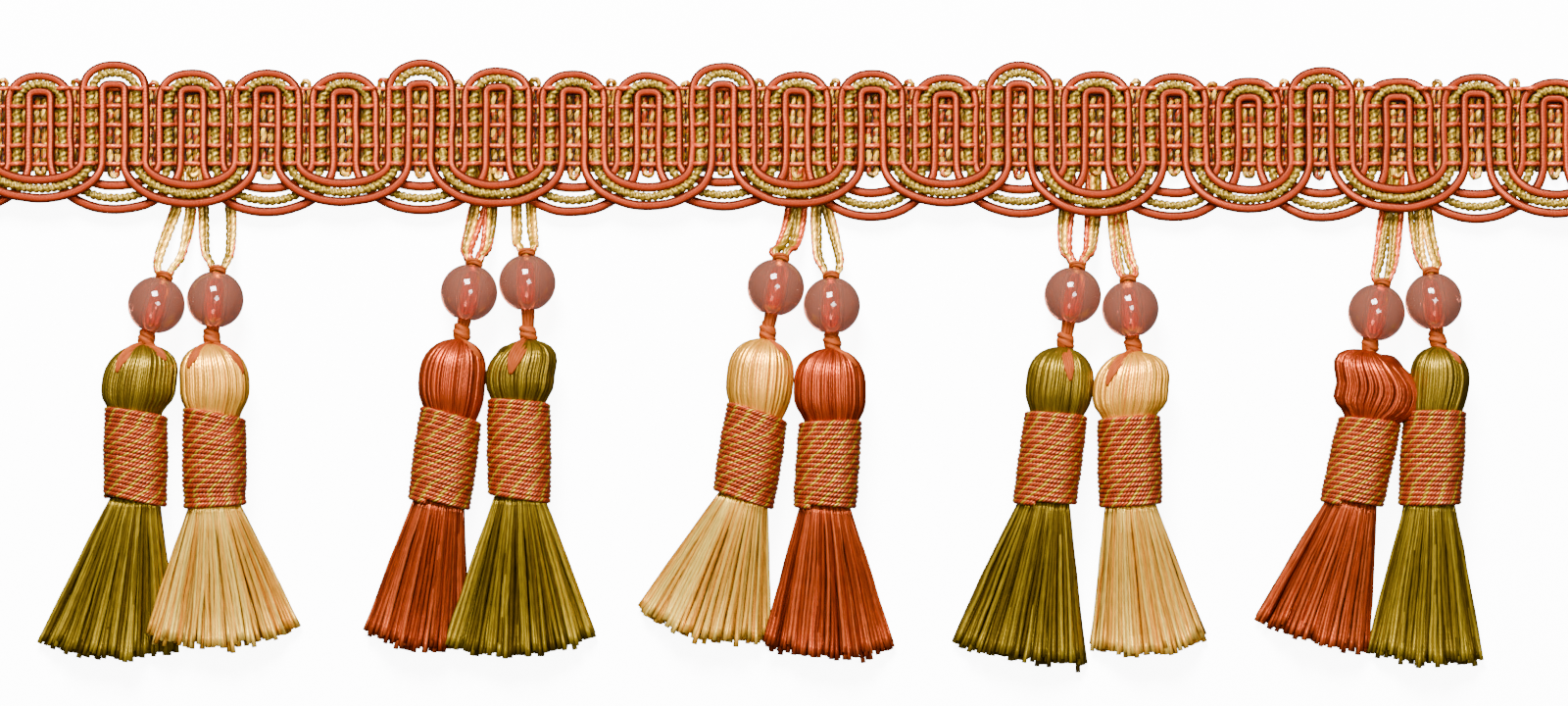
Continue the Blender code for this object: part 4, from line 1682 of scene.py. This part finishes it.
    def hanger(self) -> None:
        """Hang the bead: loops of mixed yarn from the heading through the thread's saddle."""
        bundle = Bundle(Profile.TWO_PLY)
        tip = np.asarray(self.down_bead(0.0, -self.bead_radius - 0.35, 0.0))
        middle_y = (HANGER_BEND + tip[1]) / 2
        tones = (0.0, 0.12, 0.27, 0.52) if self.yarns < 3 else (0.0, 0.9, 0.12, 0.52)
        strands = [
            (0.5 + 0.9 * index, 0.6, tones[(index + self.seed) % 4]) for index in range(self.yarns)
        ]
        strands.append((0.05, 0.22, 0.865))
        for index, (inset, radius, tone) in enumerate(strands):
            left = self.root_left + inset
            right = self.root_right - inset
            if left > right:
                left = right = (self.root_left + self.root_right) / 2 + self.rng.uniform(-0.3, 0.3)
            side = max(1.75 - 0.42 * inset, 0.3)
            ease = 1.0 - 0.1 * inset
            deep = 0.14 * index
            bow_left = self.bow_left * ease
            bow_right = self.bow_right * ease
            flanks = []
            for foot, bow, sign in ((left, bow_left, -1), (right, bow_right, 1)):
                saddle = tip[0] + sign * side
                flanks.append([
                    (foot, HANGER_ROOT, 0.5),
                    (foot + 0.1 * bow, HANGER_CROSSING, 0.6),
                    (foot + 0.25 * (saddle - foot) + 0.75 * bow, HANGER_BEND - 0.6, 1.1),
                    (foot + 0.62 * (saddle - foot) + bow, middle_y - 0.9, 2.9 + deep),
                    (saddle, tip[1] + 1.2, 4.3 + deep),
                    (tip[0] + sign * side * 0.5, tip[1] - 0.05, 4.85 + deep),
                ])
            points = flanks[0] + flanks[1][::-1]
            path = smooth_route(points, 0.45)
            path = path + wander(len(path), 0.45, 3.0, 0.05, self.rng)
            path[:, 2] = np.maximum(path[:, 2], radius)
            pitch = self.rng.uniform(2.6, 3.4)
            bundle.add(path, radius, tone, pitch=pitch, phase=self.rng.uniform(0, 6))
        name = f"hanger_{self.name}"
        dress(f"finished_{name}", bundle.mesh(name), HANGER_YARN, name)

    def build(self) -> None:
        """Make every piece of this tassel."""
        self.hanger()
        self.bead()
        self.tie()
        self.collar_cord()
        self.tassel()


def smooth_table(rows: np.ndarray, count: int) -> np.ndarray:
    """Pass a smooth curve through the rows of a table of four columns.

    Args:
        rows: the table, ordered along its first column.
        count: how many rows are wanted.

    Returns:
        The finer table.
    """
    along = cumulative_length(rows[:, :2])
    places = np.linspace(0, along[-1], count)
    columns = []
    for column in range(rows.shape[1]):
        slope = np.gradient(rows[:, column], along)
        index = np.clip(np.searchsorted(along, places, side="right") - 1, 0, len(along) - 2)
        width = along[index + 1] - along[index]
        share = (places - along[index]) / width
        a, b = rows[index, column], rows[index + 1, column]
        m, n = slope[index] * width, slope[index + 1] * width
        s2, s3 = share**2, share**3
        columns.append(
            a * (2 * s3 - 3 * s2 + 1)
            + m * (s3 - 2 * s2 + share)
            + b * (3 * s2 - 2 * s3)
            + n * (s3 - s2)
        )
    return np.stack(columns, axis=1)


def tassels() -> Iterator[BeadedTassel]:
    """Yield the ten tassels from left to right.

    Yields:
        One tassel at a time.
    """
    yield BeadedTassel(
        name="1l", finish="tassel_olive", seed=101,
        bead_x=-103.6, bead_y=-30.7, bead_turn=-16, neck_x=-107.0, neck_y=-48.6, lean=-0.6,
        collar=16.2, head_width=12.6, head_shift=0.5,
        left=-16.6, left_end=39.8, middle_end=42.7, right=7.2, right_end=41.6,
        under=0.28, over=0.0,
        root_left=-101.0, root_right=-97.1, bow_left=-1.2, bow_right=0.3, yarns=2,
        knot=6.1, top_slope=1.1, bottom_slope=1.8,
        legs=(
            TieLeg(across=-2.9, along=-6.3, width=0.85, bow=0.8),
            TieLeg(across=5.2, along=-8.4, width=0.7, bow=0.7),
        ),
    )
    yield BeadedTassel(
        name="1r", finish="tassel_gold", seed=102,
        bead_x=-93.5, bead_y=-29.8, bead_turn=-5, neck_x=-93.6, neck_y=-48.9, lean=0.3,
        collar=16.7, head_width=11.7, head_shift=0.1,
        left=-11.9, left_end=38.5, middle_end=40.6, right=14.1, right_end=37.0,
        under=0.0, over=0.28,
        root_left=-96.7, root_right=-90.4, bow_left=-0.5, bow_right=0.5, yarns=2,
        knot=6.6, top_slope=1.7, bottom_slope=-1.0,
        legs=(
            TieLeg(across=-4.0, along=-7.4, width=0.75, bow=0.7),
            TieLeg(across=5.2, along=-6.3, width=0.75, bow=0.8),
        ),
    )
    yield BeadedTassel(
        name="2l", finish="tassel_rust", seed=103,
        bead_x=-49.9, bead_y=-28.6, bead_turn=-10, neck_x=-52.9, neck_y=-49.1, lean=-7.7,
        collar=16.3, head_width=11.2, head_shift=-0.6,
        left=-9.9, left_end=38.9, middle_end=40.9, right=7.5, right_end=39.8,
        under=0.17, over=0.0,
        root_left=-49.7, root_right=-45.2, bow_left=-1.0, bow_right=0.2, yarns=3,
        knot=7.1, top_slope=1.0, bottom_slope=1.0,
        legs=(TieLeg(across=3.8, along=-9.6, width=0.55, bow=0.5),),
    )
    yield BeadedTassel(
        name="2r", finish="tassel_olive", seed=104,
        bead_x=-39.9, bead_y=-26.9, bead_turn=1, neck_x=-41.3, neck_y=-46.9, lean=0.2,
        collar=17.5, head_width=11.5, head_shift=0.2,
        left=-12.8, left_end=42.1, middle_end=44.1, right=12.8, right_end=40.5,
        under=0.0, over=0.14,
        root_left=-42.8, root_right=-38.6, bow_left=-0.2, bow_right=0.2, yarns=2,
        knot=8.8, top_slope=0.5, bottom_slope=1.2,
        legs=(TieLeg(across=-1.2, along=-4.3, width=1.1, bow=0.6),),
    )
    yield BeadedTassel(
        name="3l", finish="tassel_gold", seed=105,
        bead_x=2.8, bead_y=-27.7, bead_turn=-10, neck_x=-0.3, neck_y=-48.7, lean=-9.2,
        collar=15.9, head_width=11.2, head_shift=-0.4,
        left=-14.7, left_end=36.9, middle_end=40.3, right=8.4, right_end=38.5,
        under=0.1, over=0.0,
        root_left=4.7, root_right=8.3, bow_left=-0.3, bow_right=0.2, yarns=3,
        knot=8.0, top_slope=1.35, bottom_slope=1.35,
        legs=(TieLeg(across=3.6, along=-9.2, width=0.55, bow=0.5),),
    )
    yield BeadedTassel(
        name="3r", finish="tassel_rust", seed=106,
        bead_x=12.4, bead_y=-30.8, bead_turn=1, neck_x=12.2, neck_y=-50.4, lean=-3.7,
        collar=15.5, head_width=12.1, head_shift=-0.5,
        left=-8.8, left_end=39.3, middle_end=40.8, right=13.3, right_end=38.3,
        under=0.0, over=0.08,
        root_left=9.0, root_right=12.2, bow_left=-0.6, bow_right=1.0, yarns=2,
        knot=6.4, top_slope=-1.4, bottom_slope=0.0,
        legs=(TieLeg(across=3.8, along=-9.4, width=0.55, bow=0.5),),
    )
    yield BeadedTassel(
        name="4l", finish="tassel_olive", seed=107,
        bead_x=53.8, bead_y=-29.1, bead_turn=-9, neck_x=51.0, neck_y=-49.1, lean=-7.5,
        collar=16.2, head_width=11.4, head_shift=-0.1,
        left=-12.2, left_end=41.6, middle_end=43.0, right=10.8, right_end=42.2,
        under=0.0, over=0.0,
        root_left=51.8, root_right=58.8, bow_left=-0.8, bow_right=0.4, yarns=3,
        knot=8.0, top_slope=-0.85, bottom_slope=-0.7,
        legs=(TieLeg(across=1.4, along=-5.6, width=0.75, bow=0.3),),
    )
    yield BeadedTassel(
        name="4r", finish="tassel_gold", seed=108,
        bead_x=63.7, bead_y=-31.4, bead_turn=5, neck_x=63.4, neck_y=-49.7, lean=1.2,
        collar=15.9, head_width=12.8, head_shift=0.4,
        left=-7.0, left_end=40.0, middle_end=41.0, right=12.5, right_end=38.4,
        under=0.0, over=0.0,
        root_left=59.9, root_right=62.9, bow_left=-0.2, bow_right=0.2, yarns=3,
        knot=6.3, top_slope=-0.85, bottom_slope=-0.8,
        legs=(TieLeg(across=-3.8, along=-5.2, width=0.8, bow=0.7),),
    )
    yield BeadedTassel(
        name="5l", finish="tassel_rust", seed=109,
        bead_x=106.0, bead_y=-32.0, bead_turn=-11, neck_x=104.9, neck_y=-50.1, lean=-12.5,
        collar=15.5, head_width=15.0, head_shift=0.6, shoulder=0.48,
        left=-11.2, left_end=37.6, middle_end=39.5, right=8.7, right_end=39.4,
        under=0.0, over=0.0,
        root_left=107.2, root_right=111.2, bow_left=-0.3, bow_right=0.2, yarns=3,
        knot=5.7, top_slope=-1.5, bottom_slope=-0.85,
        legs=(),
    )
    yield BeadedTassel(
        name="5r", finish="tassel_olive", seed=110,
        bead_x=115.8, bead_y=-30.1, bead_turn=6, neck_x=116.0, neck_y=-48.6, lean=-3.4,
        collar=16.9, head_width=10.0, head_shift=0.5,
        left=-8.4, left_end=42.2, middle_end=43.6, right=11.2, right_end=42.4,
        under=0.0, over=0.0,
        root_left=111.8, root_right=115.7, bow_left=-0.2, bow_right=0.3, yarns=3,
        knot=6.8, top_slope=-0.9, bottom_slope=-1.1,
        legs=(TieLeg(across=3.6, along=-8.0, width=0.55, bow=0.5),),
    )


@dataclass
class Studio:
    """The pale floor, the soft lights and the camera straight above.

    Args:
        photo_width: the photograph's width, in pixels.
        photo_height: its height.
        pixel: the size of one of its pixels on the trim, in millimetres.
        origin_x: the photograph's pixel column at the frame's origin.
        origin_y: its pixel row there.
        lens: the camera's focal length, in millimetres.
        sensor: the width of its sensor.
        floor_glow: how brightly the floor is lit from behind.
        surround: the strength of the pale surround.
    """

    photo_width: int = 1600
    photo_height: int = 720
    pixel: float = 0.16863
    origin_x: float = 775.0
    origin_y: float = 129.0
    lens: float = 150.0
    sensor: float = 36.0
    floor_glow: float = 9.0
    surround: float = 0.16

    def floor(self) -> None:
        """Lay the floor."""
        mesh = bpy.data.meshes.new("floor")
        body = bmesh.new()
        bmesh.ops.create_grid(body, x_segments=1, y_segments=1, size=3.0)
        bmesh.ops.translate(body, verts=body.verts, vec=(0, 0, -0.0002))
        body.to_mesh(mesh)
        body.free()
        nodes = Nodes("pale_floor")
        cloud = nodes.noise(nodes.node("ShaderNodeTexCoord").outputs["Object"], 6.0)
        colour = nodes.mix(cloud, (0.92, 0.92, 0.92, 1.0), (0.94, 0.94, 0.94, 1.0))
        nodes.feed(nodes.shader.inputs["Base Color"], colour)
        nodes.set(Roughness=0.9, Emission_Strength=self.floor_glow)
        nodes.set(Emission_Color=(1.0, 1.0, 1.0, 1.0))
        mesh.materials.append(nodes.material)
        floor = bpy.data.objects.new("floor", mesh)
        floor.visible_diffuse = False
        floor.visible_glossy = False
        floor.visible_transmission = False
        bpy.context.scene.collection.objects.link(floor)

    def lights(self) -> None:
        """Hang the soft lights and set the pale surround."""
        world = bpy.data.worlds.new("studio")
        world.use_nodes = True
        world.node_tree.nodes["Background"].inputs["Color"].default_value = (1, 1, 1, 1)
        world.node_tree.nodes["Background"].inputs["Strength"].default_value = self.surround
        bpy.context.scene.world = world
        target = Vector((0.0, -0.04, 0.0))
        for name, place, size, power in (
            ("key_light", (-0.15, 0.78, 0.8), 0.42, 84.0),
            ("fill_light", (0.14, 0.06, 1.1), 0.3, 13.0),
        ):
            lamp = bpy.data.lights.new(name, "AREA")
            lamp.shape = "SQUARE"
            lamp.size = size
            lamp.energy = power
            item = bpy.data.objects.new(name, lamp)
            item.location = place
            item.rotation_euler = (target - item.location).to_track_quat("-Z", "Y").to_euler()
            bpy.context.scene.collection.objects.link(item)

    def camera(self) -> None:
        """Set the camera so that the trim fills the frame as in the photograph."""
        data = bpy.data.cameras.new("camera")
        data.lens = self.lens
        data.sensor_width = self.sensor
        data.clip_start = 0.01
        camera = bpy.data.objects.new("camera", data)
        width = self.photo_width * self.pixel
        distance = width * self.lens / self.sensor
        x = (self.photo_width / 2 - self.origin_x) * self.pixel
        y = -(self.photo_height / 2 - self.origin_y) * self.pixel
        camera.location = Vector((x, y, distance + 3.0)) * MM
        bpy.context.scene.collection.objects.link(camera)
        bpy.context.scene.camera = camera

    def build(self) -> None:
        """Set up the studio."""
        self.floor()
        self.lights()
        self.camera()


def main() -> None:
    """Build the studio and the trim, piece by piece."""
    logging.basicConfig(level=logging.INFO, format="%(name)s %(message)s")
    Studio().build()
    Heading().build()
    for tassel in tassels():
        tassel.build()


if __name__ == "__main__":
    main()
